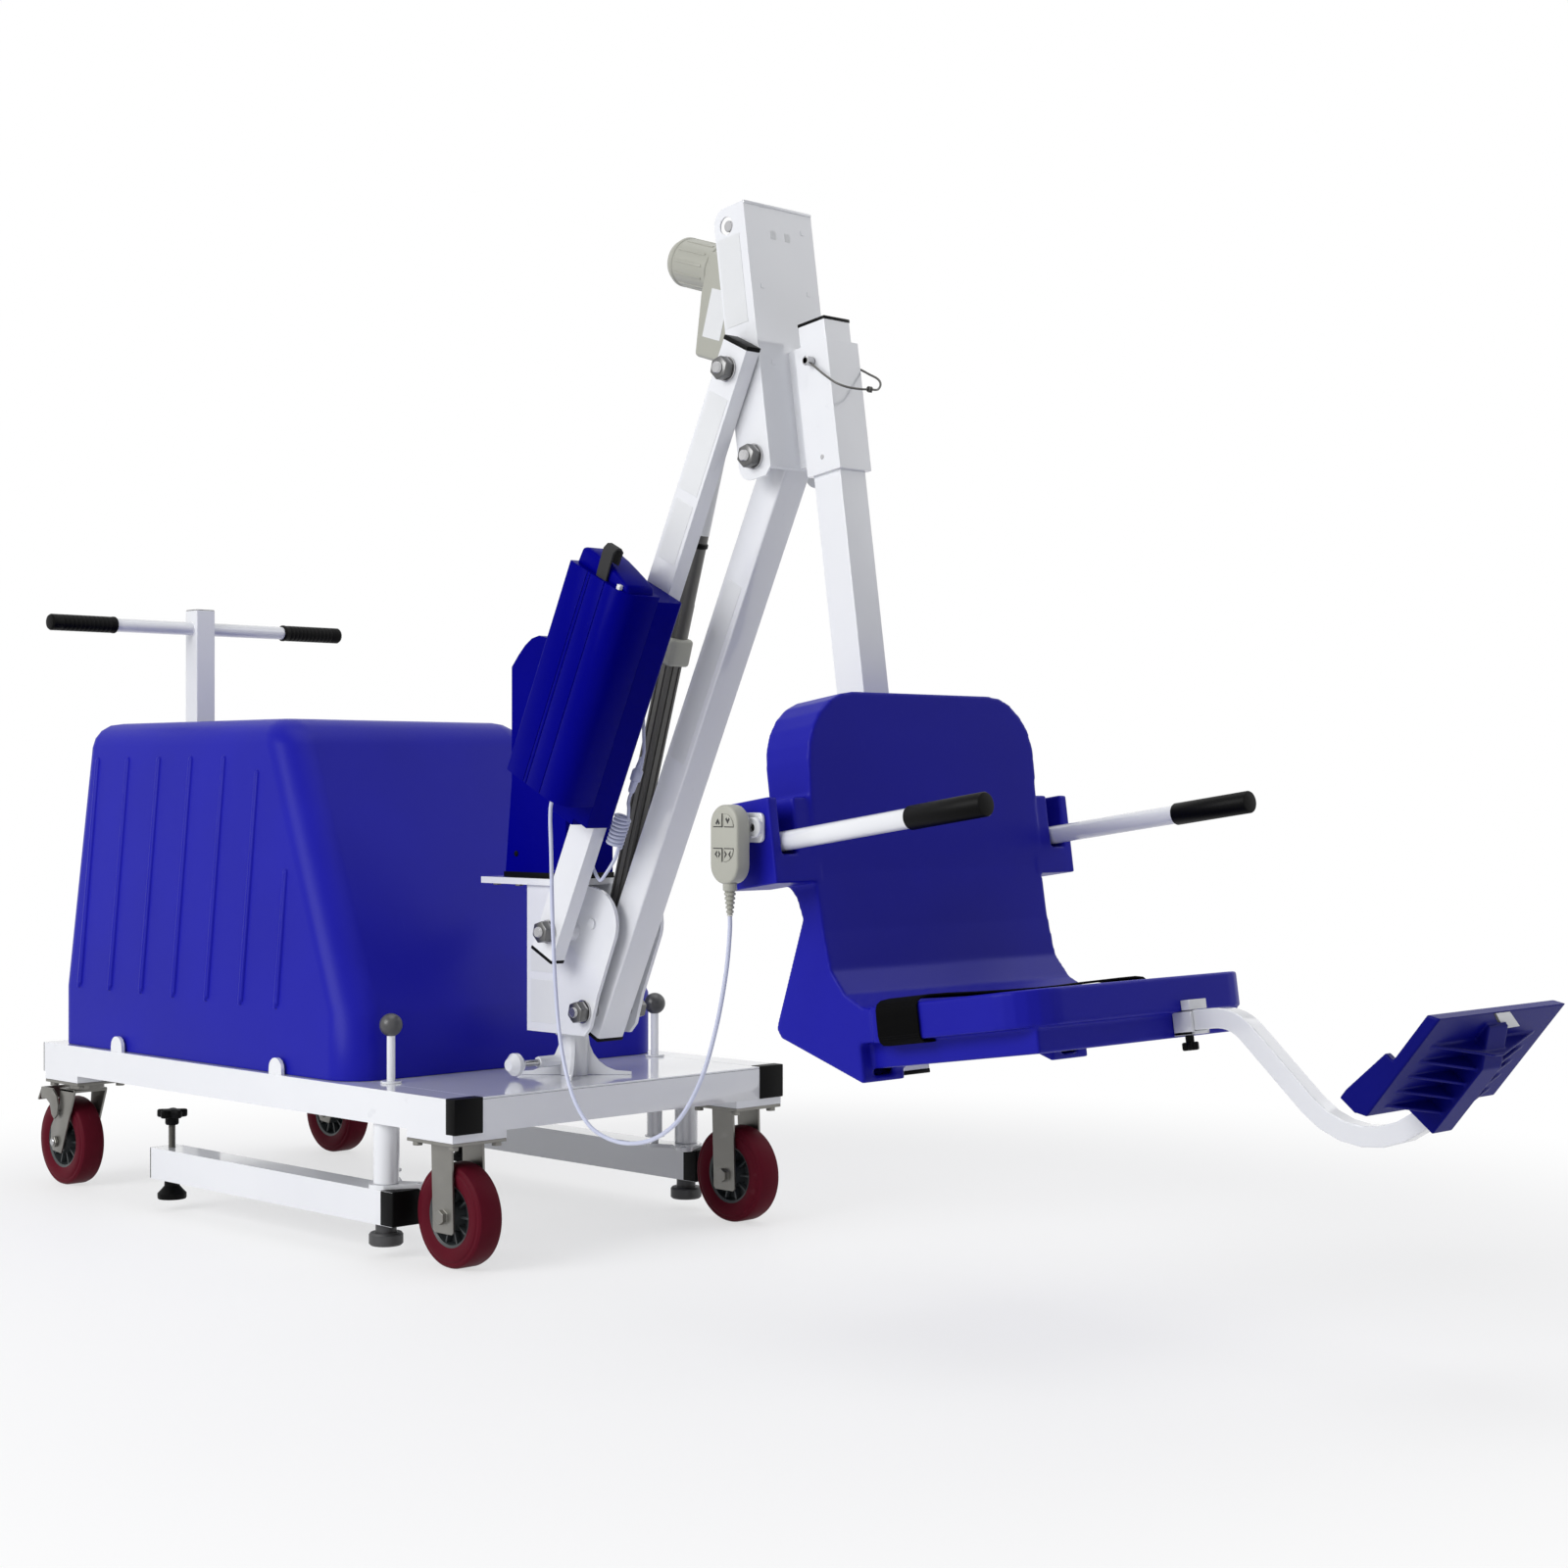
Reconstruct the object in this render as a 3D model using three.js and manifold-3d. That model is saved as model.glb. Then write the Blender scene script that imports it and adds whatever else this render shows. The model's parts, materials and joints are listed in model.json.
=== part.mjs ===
// Pool patient lift: a wheeled base with a slewing mast, a parallel lifting arm and a seat.
// Millimetres, +Z up, +X towards the seat, Y = 0 on the centre line, -Y the near side.
import * as THREE from 'three';
import Module from 'manifold-3d';
import { mergeVertices } from 'three/addons/utils/BufferGeometryUtils.js';

const wasm = await Module();
wasm.setup();

// Shared clearances, stock and counts
const seatGap = 0.3;
const turnGap = 0.9;
const cutOver = 2;
const tubeSide = 50.8;
const tubeWall = 3;
const sheetWall = 3;
const roundSides = 16;
const smallSides = 8;
const wheelSides = 24;
const hexSides = 6;
const sides = [-1, 1];
const sideNames = { '-1': 'near', 1: 'far' };

// Base frame and deck
const frameLength = 1156;
const frameWidth = 657;
const frameTop = 250;
const deckThickness = 3;
const midRailShare = 0.52;
const capFace = 3;
const capPlugLength = 20;
const padLength = 108;
const padWidth = 98;
const padThickness = 12;
const frontPadInset = 4;
const rearPadInset = 4;
const tabWidth = 34;
const tabHeight = 26;
const tabThickness = 6;
const frontTabPlace = 452;
const rearTabSetback = 235;
const rearTabPlace = frameLength - rearTabSetback;

// Casters
const wheelRadius = 76;
const wheelWidth = 46;
const tyreThickness = 28;
const tyreShoulder = 6;
const hubRadius = 22;
const rimHollow = 8;
const axleRadius = 6.4;
const frontAxlePlace = 52;
const casterInset = 49.5;
const casterSpan = frameWidth - 2 * casterInset;
const casterPlateThickness = 5;
const forkStrap = 4;
const forkWidth = 48;
const forkHalfGap = 26;
const forkToe = 24;
const forkCorner = 4;
const crownLead = 8;
const boltHeadRadius = 11;
const boltHeadHeight = 8;
const swivelSetback = 56;
const swivelPlace = frameLength - swivelSetback;
const casterTrail = 49;
const racewayRadius = 30;
const racewayHeight = 11;
const crownThickness = 6;
const kingPinRadius = 9;
const pedalLength = 62;
const pedalWidth = 44;
const pedalThickness = 4;
const pedalRise = 14;
const pedalPivotRadius = 4;
const pedalLug = 9;

// Outriggers
const outriggerReach = 612;
const outriggerInset = 26.5;
const outriggerSpan = frameWidth - 2 * outriggerInset;
const outriggerBottom = 51;
const outriggerPivotPlace = 198;
const outriggerNose = 49;
const postRadius = 19;
const postPinRadius = 12.7;
const postFootRadius = 25.35;
const postFootBottom = 17;
const postFootHeight = 19;
const latchThickness = 6;
const latchRootRadius = 26;
const latchLobeRadius = 14;
const levellerPlace = 23;
const levellerRodRadius = 6;
const levellerKnobRadius = 25.5;
const levellerKnobHeight = 13;
const levellerKnobBase = 151;
const levellerHubRadius = 11;
const levellerHubDrop = 12;
const levellerFootRadius = 23.5;
const levellerFootBottom = 18;
const levellerFootRim = 10;
const levellerNeckRadius = 12;
const knobLobes = 5;
const knobLobeShare = 0.18;
const knobSteps = 25;

// Lock rods through the deck
const lockRodRadius = 6.35;
const lockRodPlace = 235;
const lockRodInset = 62.5;
const lockRodSpan = frameWidth - 2 * lockRodInset;
const lockBallRadius = 17.5;
const lockBallHeight = 337;
const guideRadius = 12.7;
const guideBottom = 118;
const guideRing = 3;
const guideRingRadius = 16;

// Weight cover and counterweight
const coverSetback = 37;
const coverRear = frameLength - coverSetback;
const coverFront = 270;
const coverInset = 12.5;
const coverWidth = frameWidth - 2 * coverInset;
const coverHeight = 553;
const coverSkirt = 100;
const coverRearLean = 17;
const coverTopRear = coverRear + coverRearLean;
const coverTopFront = 543;
const coverSideLean = 61;
const coverTopWidth = coverWidth - 2 * coverSideLean;
const coverWall = 6;
const coverCornerRadius = 58;
const coverRearRadius = 30;
const coverEdgeRadius = 42;
const coverCornerSteps = 5;
const coverEdgeSteps = 4;
const ribCount = 7;
const ribRearInset = 60;
const ribFrontInset = 195;
const ribFirst = coverRear - ribRearInset;
const ribPitch = (ribFirst - coverFront - ribFrontInset) / (ribCount - 1);
const ribWidth = 9;
const ribProud = 4;
const ribLean = 30;
const ribHeight = 388;
const ribHeightShares = [1, 1, 1, 1, 1, 0.94, 0.54];
const weightInset = 78;
const weightLength = coverRear - coverTopFront - 2 * weightInset;
const weightSideInset = 35;
const weightWidth = coverTopWidth - 2 * weightSideInset;
const weightHeight = 150;
const weightPlates = 5;
const weightGroove = 4;

// Push handle
const handlePostSide = 38;
const handleTop = 1016;
const handleBarHeight = 982;
const handleBarRadius = 12;
const handleBarSpan = 610;
const handleGripRadius = 14.5;
const handleGripLength = 129;
const handleSocketHeight = 90;
const handleSocketWall = 4;
const handleStandOff = 4;

// Pedestal and mast
const slewPlace = 125;
const columnRadius = 22;
const columnHeight = 67.5;
const columnWall = 5;
const columnFlangeRadius = 30;
const gussetCount = 4;
const gussetReach = 88;
const gussetThickness = 6;
const gussetHeight = 60;
const gussetTip = 10;
const gussetSteps = 6;
const mastPinLength = 55;
const mastGap = 0.5;
const mastHeight = 227;
const mastBottom = frameTop + columnHeight + mastGap;
const mastTop = mastBottom + mastHeight;
const mastWidth = 96;
const mastPlate = 6;
const mastRear = 181;
const mastToe = 32;
const mastToeRise = 30;
const mastCorner = 14;
const mastBasePlate = 8;
const mastBaseLength = 84;
const lobeRadius = 54;
const lobeFrom = -20;
const lobeTo = 84;
const lobeSteps = 10;
const platformRear = 285;
const platformFront = 95;
const platformWidth = 112;
const platformThickness = 8;
const knobPlaceX = 140;
const knobReach = 100;
const knobBallRadius = 19;
const knobRise = 22;
const knobRodRadius = 5;
const knobBossRadius = 9;
const knobBossReach = 60;
const knobPinReach = 26;

// Motor cover and gear motor
const motorCoverRear = 236;
const motorCoverFront = 89;
const motorCoverHeight = 373;
const motorCoverWidth = 96;
const motorCoverFlare = 16;
const motorCoverFlareHeight = 150;
const motorCoverCrown = 46;
const motorCoverWall = 4;
const motorCoverSteps = 8;
const gearBoxLength = 100;
const gearBoxWidth = 70;
const gearBoxHeight = 80;
const motorCanRadius = 34;
const motorCanHeight = 150;

// Lifting linkage
const liftAngle = 64.13;
const linkLength = 889;
const armPivotBack = 47.4;
const armPivotRise = 36.7;
const linkPivotStepBack = 24.5;
const linkPivotStepUp = 121.7;
const armTail = 38;
const linkTail = 40;
const linkThickness = 25.4;
const linkStandOff = 22.6;
const pivotBoltRadius = 9.5;
const pivotNutRadius = 17;
const pivotNutHeight = 16;
const pivotWasherRadius = 18;
const pivotWasherThickness = 3;
const pivotThreadRadius = 8;
const pivotThreadLength = 6;
const spacerRadius = 16;

// Actuator
const actuatorFootBack = 27;
const actuatorFootRise = 170;
const actuatorHeadBack = 8;
const actuatorHeadRise = 335;
const actuatorRodRadius = 13;
const actuatorRodLength = 540;
const actuatorCollarFrom = 406;
const actuatorCollarLength = 42;
const actuatorCollarRadius = 22;
const actuatorTubeRadius = 17;
const actuatorTubeBore = 13.3;
const actuatorBoreDepth = 400;
const actuatorRingFrom = 584;
const actuatorRingLength = 8;
const actuatorRingRadius = 19;
const actuatorEyeRadius = 13;
const actuatorEyeWidth = 26;
const actuatorPinRadius = 8;
const gearCaseTop = 40;
const gearCaseLength = 150;
const gearCaseDepth = 62;
const gearCaseWidth = 70;
const gearCaseTaper = 14;
const drumRadius = 35;
const drumLength = 96;
const drumDrop = 44;
const drumNose = 14;

// Head bracket, socket and seat post
const headTilt = 8.3;
const headWidth = 135.2;
const headTop = 361;
const headFoot = 31;
const headRear = 32;
const headFront = 30;
const headCorner = 22;
const headHoleRadius = 13;
const gussetPlateWidth = 16;
const gussetPlateTop = 150;
const gussetPlateFoot = 20;
const socketRear = 64;
const socketWall = 5.7;
const socketTop = 140;
const socketFoot = 42;
const postTop = 174;
const postFoot = 868;
const lockPinHeight = 115;
const lockPinRadius = 5;
const lockPinHeadLength = 14;
const lockPinHeadRadius = 6.5;
const bailWireRadius = 1.6;
const bailReach = 62;
const bailDrop = 34;

// Seat shell, in the tilted frame of the head: u forward, w up from the lower head pivot
const seatRear = 90;
const seatDepth = 430;
const seatTop = 369;
const seatHeight = 507;
const backWidth = 452;
const backCorner = 90;
const backCornerSteps = 6;
const seatWall = 5;
const panTop = 781;
const panThickness = 45;
const panWidth = 462;
const panRear = 262;
const panCorner = 60;
const bellyDrop = 32;
const bellyWidth = 410;
const bellySetback = 15;
const bellyFrom = 200;
const footWidth = 78;
const footRise = 36;
const footHoleWidth = 34;
const footHoleHeight = 26;
const postChannelGap = 0.4;
const footFaceShare = 0.337;
const backSideShares = [
  [0.065, 0], [0.267, 0], [0.258, 0.128], [0.242, 0.288], [0.23, 0.462], [0.237, 0.609],
  [0.251, 0.712], [0.298, 0.775], [0.363, 0.811], [0.421, 0.822], [0.488, 0.822],
  [0.488, 0.9], [footFaceShare, 0.9], [footFaceShare, 1], [0.016, 0.866], [0, 0.844], [0.005, 0.826],
  [0.156, 0.574], [0.14, 0.519], [0.105, 0.479], [0.065, 0.463],
];
const backHollowShares = [
  [0.08, 0.012], [0.25, 0.012], [0.242, 0.128], [0.228, 0.288], [0.216, 0.462],
  [0.223, 0.609], [0.236, 0.716], [0.288, 0.787], [0.358, 0.823], [0.42, 0.834],
  [0.474, 0.834], [0.474, 0.89], [0.323, 0.89], [0.323, 0.98], [0.04, 0.862],
  [0.022, 0.842], [0.172, 0.574], [0.154, 0.51], [0.112, 0.468], [0.08, 0.455],
];

// Arm sockets and armrests
const armOutset = 42;
const armSpan = backWidth + 2 * armOutset;
const armHeight = 561;
const armTubeRadius = 12.7;
const armGripRadius = 15;
const armGripLength = 133;
const armTipReach = 528;
const armHingeReach = 152;
const armSocketRear = 95;
const armSocketLength = 95;
const armSocketTop = 505;
const armSocketHeight = 110;
const armSocketReach = 72;
const armSocketOuter = backWidth / 2 + armSocketReach;
const armSlotWidth = 28;
const armSlotFloor = 17;
const armPinRadius = 5;
const armPinSpread = 20;

// Seat belt
const beltFrom = 276;
const beltWidth = 69;
const beltThickness = 2.6;
const beltReturn = 26;

// Footrest
const footrestPlace = 80;
const footrestTube = 25.4;
const footrestDrop = 12;
const footrestHeight = panTop + panThickness + footrestDrop;
const footrestStart = 440;
const footrestBendFrom = 563;
const footrestBendRadius = 60;
const footrestLowRadius = 117;
const footrestBendAngle = 50.5;
const footrestRun = 121;
const footrestRise = 42.8;
const footrestEndRun = 34;
const footrestBendSteps = 7;
const receiverFrom = seatRear + seatDepth - bellySetback + seatGap;
const receiverLength = 29;
const receiverWidth = 36;
const receiverWall = 5;
const receiverRim = 10;
const receiverKnobRadius = 12;
const receiverKnobHeight = 14;
const receiverKnobStem = 6;
const footplateWidth = 282;
const footplateTubeReach = 46.5;
const footplateTubeDepth = 21.2;
const footplateLength = 149;
const footplateThickness = 15;
const kerbLength = 80;
const kerbHeight = 24;
const kerbThickness = 12;
const plateSpineWidth = 44;
const plateSpineDepth = 44;
const plateSpineLength = 138;
const plateSpineLead = 8;
const plateSpineTip = 20;
const plateRibThickness = 4;
const plateRibCount = 5;
const plateRibPitch = 23;
const plateRibEdge = 18;

// Boxes on the upper link, measured along the link and across it
const controlFrom = 205;
const controlLength = 355;
const controlWidth = 126;
const controlThickness = 50.7;
const batteryFrom = 240;
const batteryLength = 328;
const batteryWidth = 128;
const batteryThickness = 67.7;
const batteryEdge = 30;
const batteryCorner = 3;
const lidInset = 10;
const lidRise = 27;
const lidEdge = 6;
const lidOutlineShares = [
  [0, -0.94], [0.35, -0.86], [0.72, -0.2], [0.96, 0.4], [1, 0.7], [0.86, 0.9], [0, 0.94],
];
const boxEdge = 10;
const boxSeam = 1.5;
const strapWidth = 23;
const strapThickness = 4;
const strapRise = 50;
const strapDepth = 20;
const strapPlace = -3;

// Handset, its holder and the leads
const handsetAhead = 223.5;
const handsetBelow = 582.6;
const handsetHeight = 100;
const handsetWidth = 50;
const handsetThickness = 23.4;
const handsetRound = 24;
const reliefLength = 40;
const reliefRadius = 7;
const reliefTipRadius = 4.5;
const holderThickness = 18;
const holderWidth = 34;
const holderHeight = 44;
const holderRise = 60;
const buttonSide = 13;
const buttonPitchX = 17;
const buttonPitchZ = 42;
const buttonRow = 76;
const buttonProud = 1.6;
const buttonDepth = 3.5;
const buttonCorner = 4;
const cordRadius = 2.9;
const cordSides = 6;
const cordSteps = 56;
const cableRadius = 2.6;
const cableSides = 5;
const cableLeadSteps = 48;
const curlTurns = 8;
const curlStepsPerTurn = 8;
const curlRadius = 11;
const curlPitch = 6.1;
const plugRadius = 8;
const plugLength = 58;
const cableHookX = 120;
const curlFromX = 165;
const plugShares = [[0.33, 0.7], [0.5, 1], [0.62, 1], [0.66, 0.7]];

// Looks
const looks = {
  white: { color: 0xf4f5f8, roughness: 0.3, metalness: 0 },
  navy: { color: 0x05058c, roughness: 0.3, metalness: 0 },
  blue: { color: 0x1c1ca0, roughness: 0.4, metalness: 0 },
  black: { color: 0x101012, roughness: 0.6, metalness: 0 },
  iron: { color: 0x4a4a4a, roughness: 0.6, metalness: 0.4 },
  zinc: { color: 0x8e8f8c, roughness: 0.4, metalness: 0.8 },
  steel: { color: 0xb9babb, roughness: 0.3, metalness: 0.9 },
  tyre: { color: 0x6b2530, roughness: 0.5, metalness: 0 },
  graphite: { color: 0x5c5b57, roughness: 0.45, metalness: 0.3 },
  beige: { color: 0xb7b6aa, roughness: 0.5, metalness: 0 },
  cord: { color: 0xe4e6f2, roughness: 0.4, metalness: 0 },
};

// Turns a closed geometry into a solid whose faces point out.
function toSolid(geometry) {
  const bare = geometry.clone();
  bare.deleteAttribute('normal');
  bare.deleteAttribute('uv');
  const merged = mergeVertices(bare);
  const place = merged.attributes.position;
  const index = merged.index.array;
  const corner = [new THREE.Vector3(), new THREE.Vector3(), new THREE.Vector3()];
  const triangles = [];
  let volume = 0;
  for (let i = 0; i < index.length; i += 3) {
    const [a, b, c] = [index[i], index[i + 1], index[i + 2]];
    if (a === b || b === c || c === a) continue;
    triangles.push(a, b, c);
    [a, b, c].forEach((vertex, k) => corner[k].fromBufferAttribute(place, vertex));
    volume += corner[0].dot(corner[1].clone().cross(corner[2]));
  }
  if (volume < 0) {
    for (let i = 0; i < triangles.length; i += 3) {
      [triangles[i], triangles[i + 1]] = [triangles[i + 1], triangles[i]];
    }
  }
  const vertProperties = new Float32Array(place.array);
  const triVerts = new Uint32Array(triangles);
  return new wasm.Manifold(new wasm.Mesh({ numProp: 3, vertProperties, triVerts }));
}

// Turns a solid back into a geometry.
function toGeometry(solid) {
  const mesh = solid.getMesh();
  const geometry = new THREE.BufferGeometry();
  geometry.setAttribute('position', new THREE.BufferAttribute(new Float32Array(mesh.vertProperties), 3));
  geometry.setIndex(new THREE.BufferAttribute(new Uint32Array(mesh.triVerts), 1));
  geometry.computeVertexNormals();
  return geometry;
}

function joined(...solids) {
  return solids.reduce((whole, next) => whole.add(next));
}

function cut(solid, ...tools) {
  return tools.reduce((left, tool) => left.subtract(tool), solid);
}

function block([x0, x1], [y0, y1], [z0, z1]) {
  const geometry = new THREE.BoxGeometry(x1 - x0, y1 - y0, z1 - z0);
  geometry.translate((x0 + x1) / 2, (y0 + y1) / 2, (z0 + z1) / 2);
  return toSolid(geometry);
}

const axisBases = {
  x: [[0, 1, 0], [0, 0, 1], [1, 0, 0]],
  y: [[1, 0, 0], [0, 0, 1], [0, 1, 0]],
  z: [[1, 0, 0], [0, 1, 0], [0, 0, 1]],
};

// A matrix whose third axis is the named one; the outline lies in the other two.
function axisMatrix(axis) {
  const [first, second, third] = axisBases[axis].map((v) => new THREE.Vector3(...v));
  return new THREE.Matrix4().makeBasis(first, second, third);
}

// Extrudes an outline along an axis between two places.
function prism(axis, outline, from, to) {
  const shape = new THREE.Shape(outline.map(([a, b]) => new THREE.Vector2(a, b)));
  const geometry = new THREE.ExtrudeGeometry(shape, { depth: to - from, bevelEnabled: false });
  geometry.translate(0, 0, from);
  geometry.applyMatrix4(axisMatrix(axis));
  return toSolid(geometry);
}

// A round rod along an axis; centre holds the other two coordinates in order.
function rod(axis, centre, radius, from, to, count = roundSides, tipRadius = radius) {
  const geometry = new THREE.CylinderGeometry(tipRadius, radius, to - from, count);
  geometry.rotateX(Math.PI / 2);
  geometry.translate(centre[0], centre[1], (from + to) / 2);
  geometry.applyMatrix4(axisMatrix(axis));
  return toSolid(geometry);
}

// Turns a profile of [radius, place along the axis] about an axis.
function turned(axis, centre, profile, count = roundSides) {
  const points = profile.map(([radius, along]) => new THREE.Vector2(radius, along));
  const geometry = new THREE.LatheGeometry(points, count);
  geometry.rotateX(Math.PI / 2);
  geometry.translate(centre[0], centre[1], 0);
  geometry.applyMatrix4(axisMatrix(axis));
  return toSolid(geometry);
}

// Skins a row of rings of equal count and closes both ends.
function loft(rings) {
  const count = rings[0].length;
  const vertices = rings.flat(2);
  const triangles = [];
  for (let ring = 0; ring + 1 < rings.length; ring += 1) {
    for (let k = 0; k < count; k += 1) {
      const a = ring * count + k;
      const b = ring * count + ((k + 1) % count);
      triangles.push(a, b, b + count, a, b + count, a + count);
    }
  }
  [0, rings.length - 1].forEach((ring) => {
    const middle = vertices.length / 3;
    const sum = rings[ring].reduce((total, point) => total.map((value, i) => value + point[i]));
    vertices.push(...sum.map((value) => value / count));
    for (let k = 0; k < count; k += 1) {
      const a = ring * count + k;
      const b = ring * count + ((k + 1) % count);
      triangles.push(...(ring === 0 ? [b, a, middle] : [a, b, middle]));
    }
  });
  const geometry = new THREE.BufferGeometry();
  geometry.setAttribute('position', new THREE.Float32BufferAttribute(vertices, 3));
  geometry.setIndex(triangles);
  return toSolid(geometry);
}

// Sweeps a section along a smooth path through the given points.
function sweep(points, section, steps, curveType = 'centripetal') {
  const path = new THREE.CatmullRomCurve3(points.map((p) => new THREE.Vector3(...p)), false, curveType);
  const shape = new THREE.Shape(section.map(([a, b]) => new THREE.Vector2(a, b)));
  return toSolid(new THREE.ExtrudeGeometry(shape, { steps, extrudePath: path, bevelEnabled: false }));
}

function circle(radius, count, centre = [0, 0], start = 0) {
  const points = [];
  for (let k = 0; k < count; k += 1) {
    const angle = start + (2 * Math.PI * k) / count;
    points.push([centre[0] + radius * Math.cos(angle), centre[1] + radius * Math.sin(angle)]);
  }
  return points;
}

function arc(centre, radius, fromDegrees, toDegrees, steps) {
  const points = [];
  for (let k = 0; k <= steps; k += 1) {
    const angle = THREE.MathUtils.degToRad(fromDegrees + ((toDegrees - fromDegrees) * k) / steps);
    points.push([centre[0] + radius * Math.cos(angle), centre[1] + radius * Math.sin(angle)]);
  }
  return points;
}

// A rectangle with round corners, drawn anticlockwise; the corners at a0 may have their own radius.
function roundedBox([a0, a1], [b0, b1], radius, steps = 4, lowRadius = radius) {
  return [
    ...arc([a1 - radius, b0 + radius], radius, -90, 0, steps),
    ...arc([a1 - radius, b1 - radius], radius, 0, 90, steps),
    ...arc([a0 + lowRadius, b1 - lowRadius], lowRadius, 90, 180, steps),
    ...arc([a0 + lowRadius, b0 + lowRadius], lowRadius, 180, 270, steps),
  ];
}

function span(width, centre = 0) {
  return [centre - width / 2, centre + width / 2];
}

// A span on one side of the centre line, from an inner to an outer distance.
function sideSpan(side, inner, outer) {
  return side < 0 ? [-outer, -inner] : [inner, outer];
}

const lift = new THREE.Group();

// Adds one named piece to a group.
function addPiece(group, name, solid, look) {
  const mesh = new THREE.Mesh(toGeometry(solid), new THREE.MeshStandardMaterial(looks[look]));
  mesh.name = name;
  group.add(mesh);
  return mesh;
}

// A group at a place in the XZ plane, turned up from +X by an angle in degrees.
function tiltedGroup([x, z], degrees) {
  const group = new THREE.Group();
  group.position.set(x, 0, z);
  group.rotation.y = -THREE.MathUtils.degToRad(degrees);
  lift.add(group);
  return group;
}

// Places of the linkage pivots
const liftCos = Math.cos(THREE.MathUtils.degToRad(liftAngle));
const liftSin = Math.sin(THREE.MathUtils.degToRad(liftAngle));
const armFoot = [-armPivotBack, mastBottom + armPivotRise];
const linkFoot = [armFoot[0] - linkPivotStepBack, armFoot[1] + linkPivotStepUp];
const armHead = [armFoot[0] + linkLength * liftCos, armFoot[1] + linkLength * liftSin];
const linkHead = [armHead[0] - linkPivotStepBack, armHead[1] + linkPivotStepUp];
const tiltCos = Math.cos(THREE.MathUtils.degToRad(headTilt));
const tiltSin = Math.sin(THREE.MathUtils.degToRad(headTilt));

// From the head's tilted frame to the lift's own frame.
function fromHead([u, w]) {
  return [armHead[0] + u * tiltCos - w * tiltSin, armHead[1] + u * tiltSin + w * tiltCos];
}

function toHead([x, z]) {
  const [dx, dz] = [x - armHead[0], z - armHead[1]];
  return [dx * tiltCos + dz * tiltSin, dz * tiltCos - dx * tiltSin];
}

const actuatorFoot = [-actuatorFootBack, mastBottom + actuatorFootRise];
const actuatorHead = fromHead([-actuatorHeadBack, actuatorHeadRise]);
const actuatorRun = [actuatorHead[0] - actuatorFoot[0], actuatorHead[1] - actuatorFoot[1]];
const actuatorLength = Math.hypot(...actuatorRun);
const actuatorAngle = THREE.MathUtils.radToDeg(Math.atan2(actuatorRun[1], actuatorRun[0]));

// Sizes shared by the base pieces
const railHalf = frameWidth / 2;
const railInner = railHalf - tubeSide;
const frameBottom = frameTop - tubeSide;
const deckBottom = frameTop - deckThickness;
const crossTop = deckBottom - seatGap;
const padTop = frameBottom;
const padBottom = padTop - padThickness;
const outriggerY = outriggerSpan / 2;
const outriggerTop = outriggerBottom + tubeSide;
const latchTop = outriggerTop + latchThickness;
const lockRodY = lockRodSpan / 2;
const casterY = casterSpan / 2;
const handleX = -(frameLength + handleStandOff + handleSocketWall + handlePostSide / 2);

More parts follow.
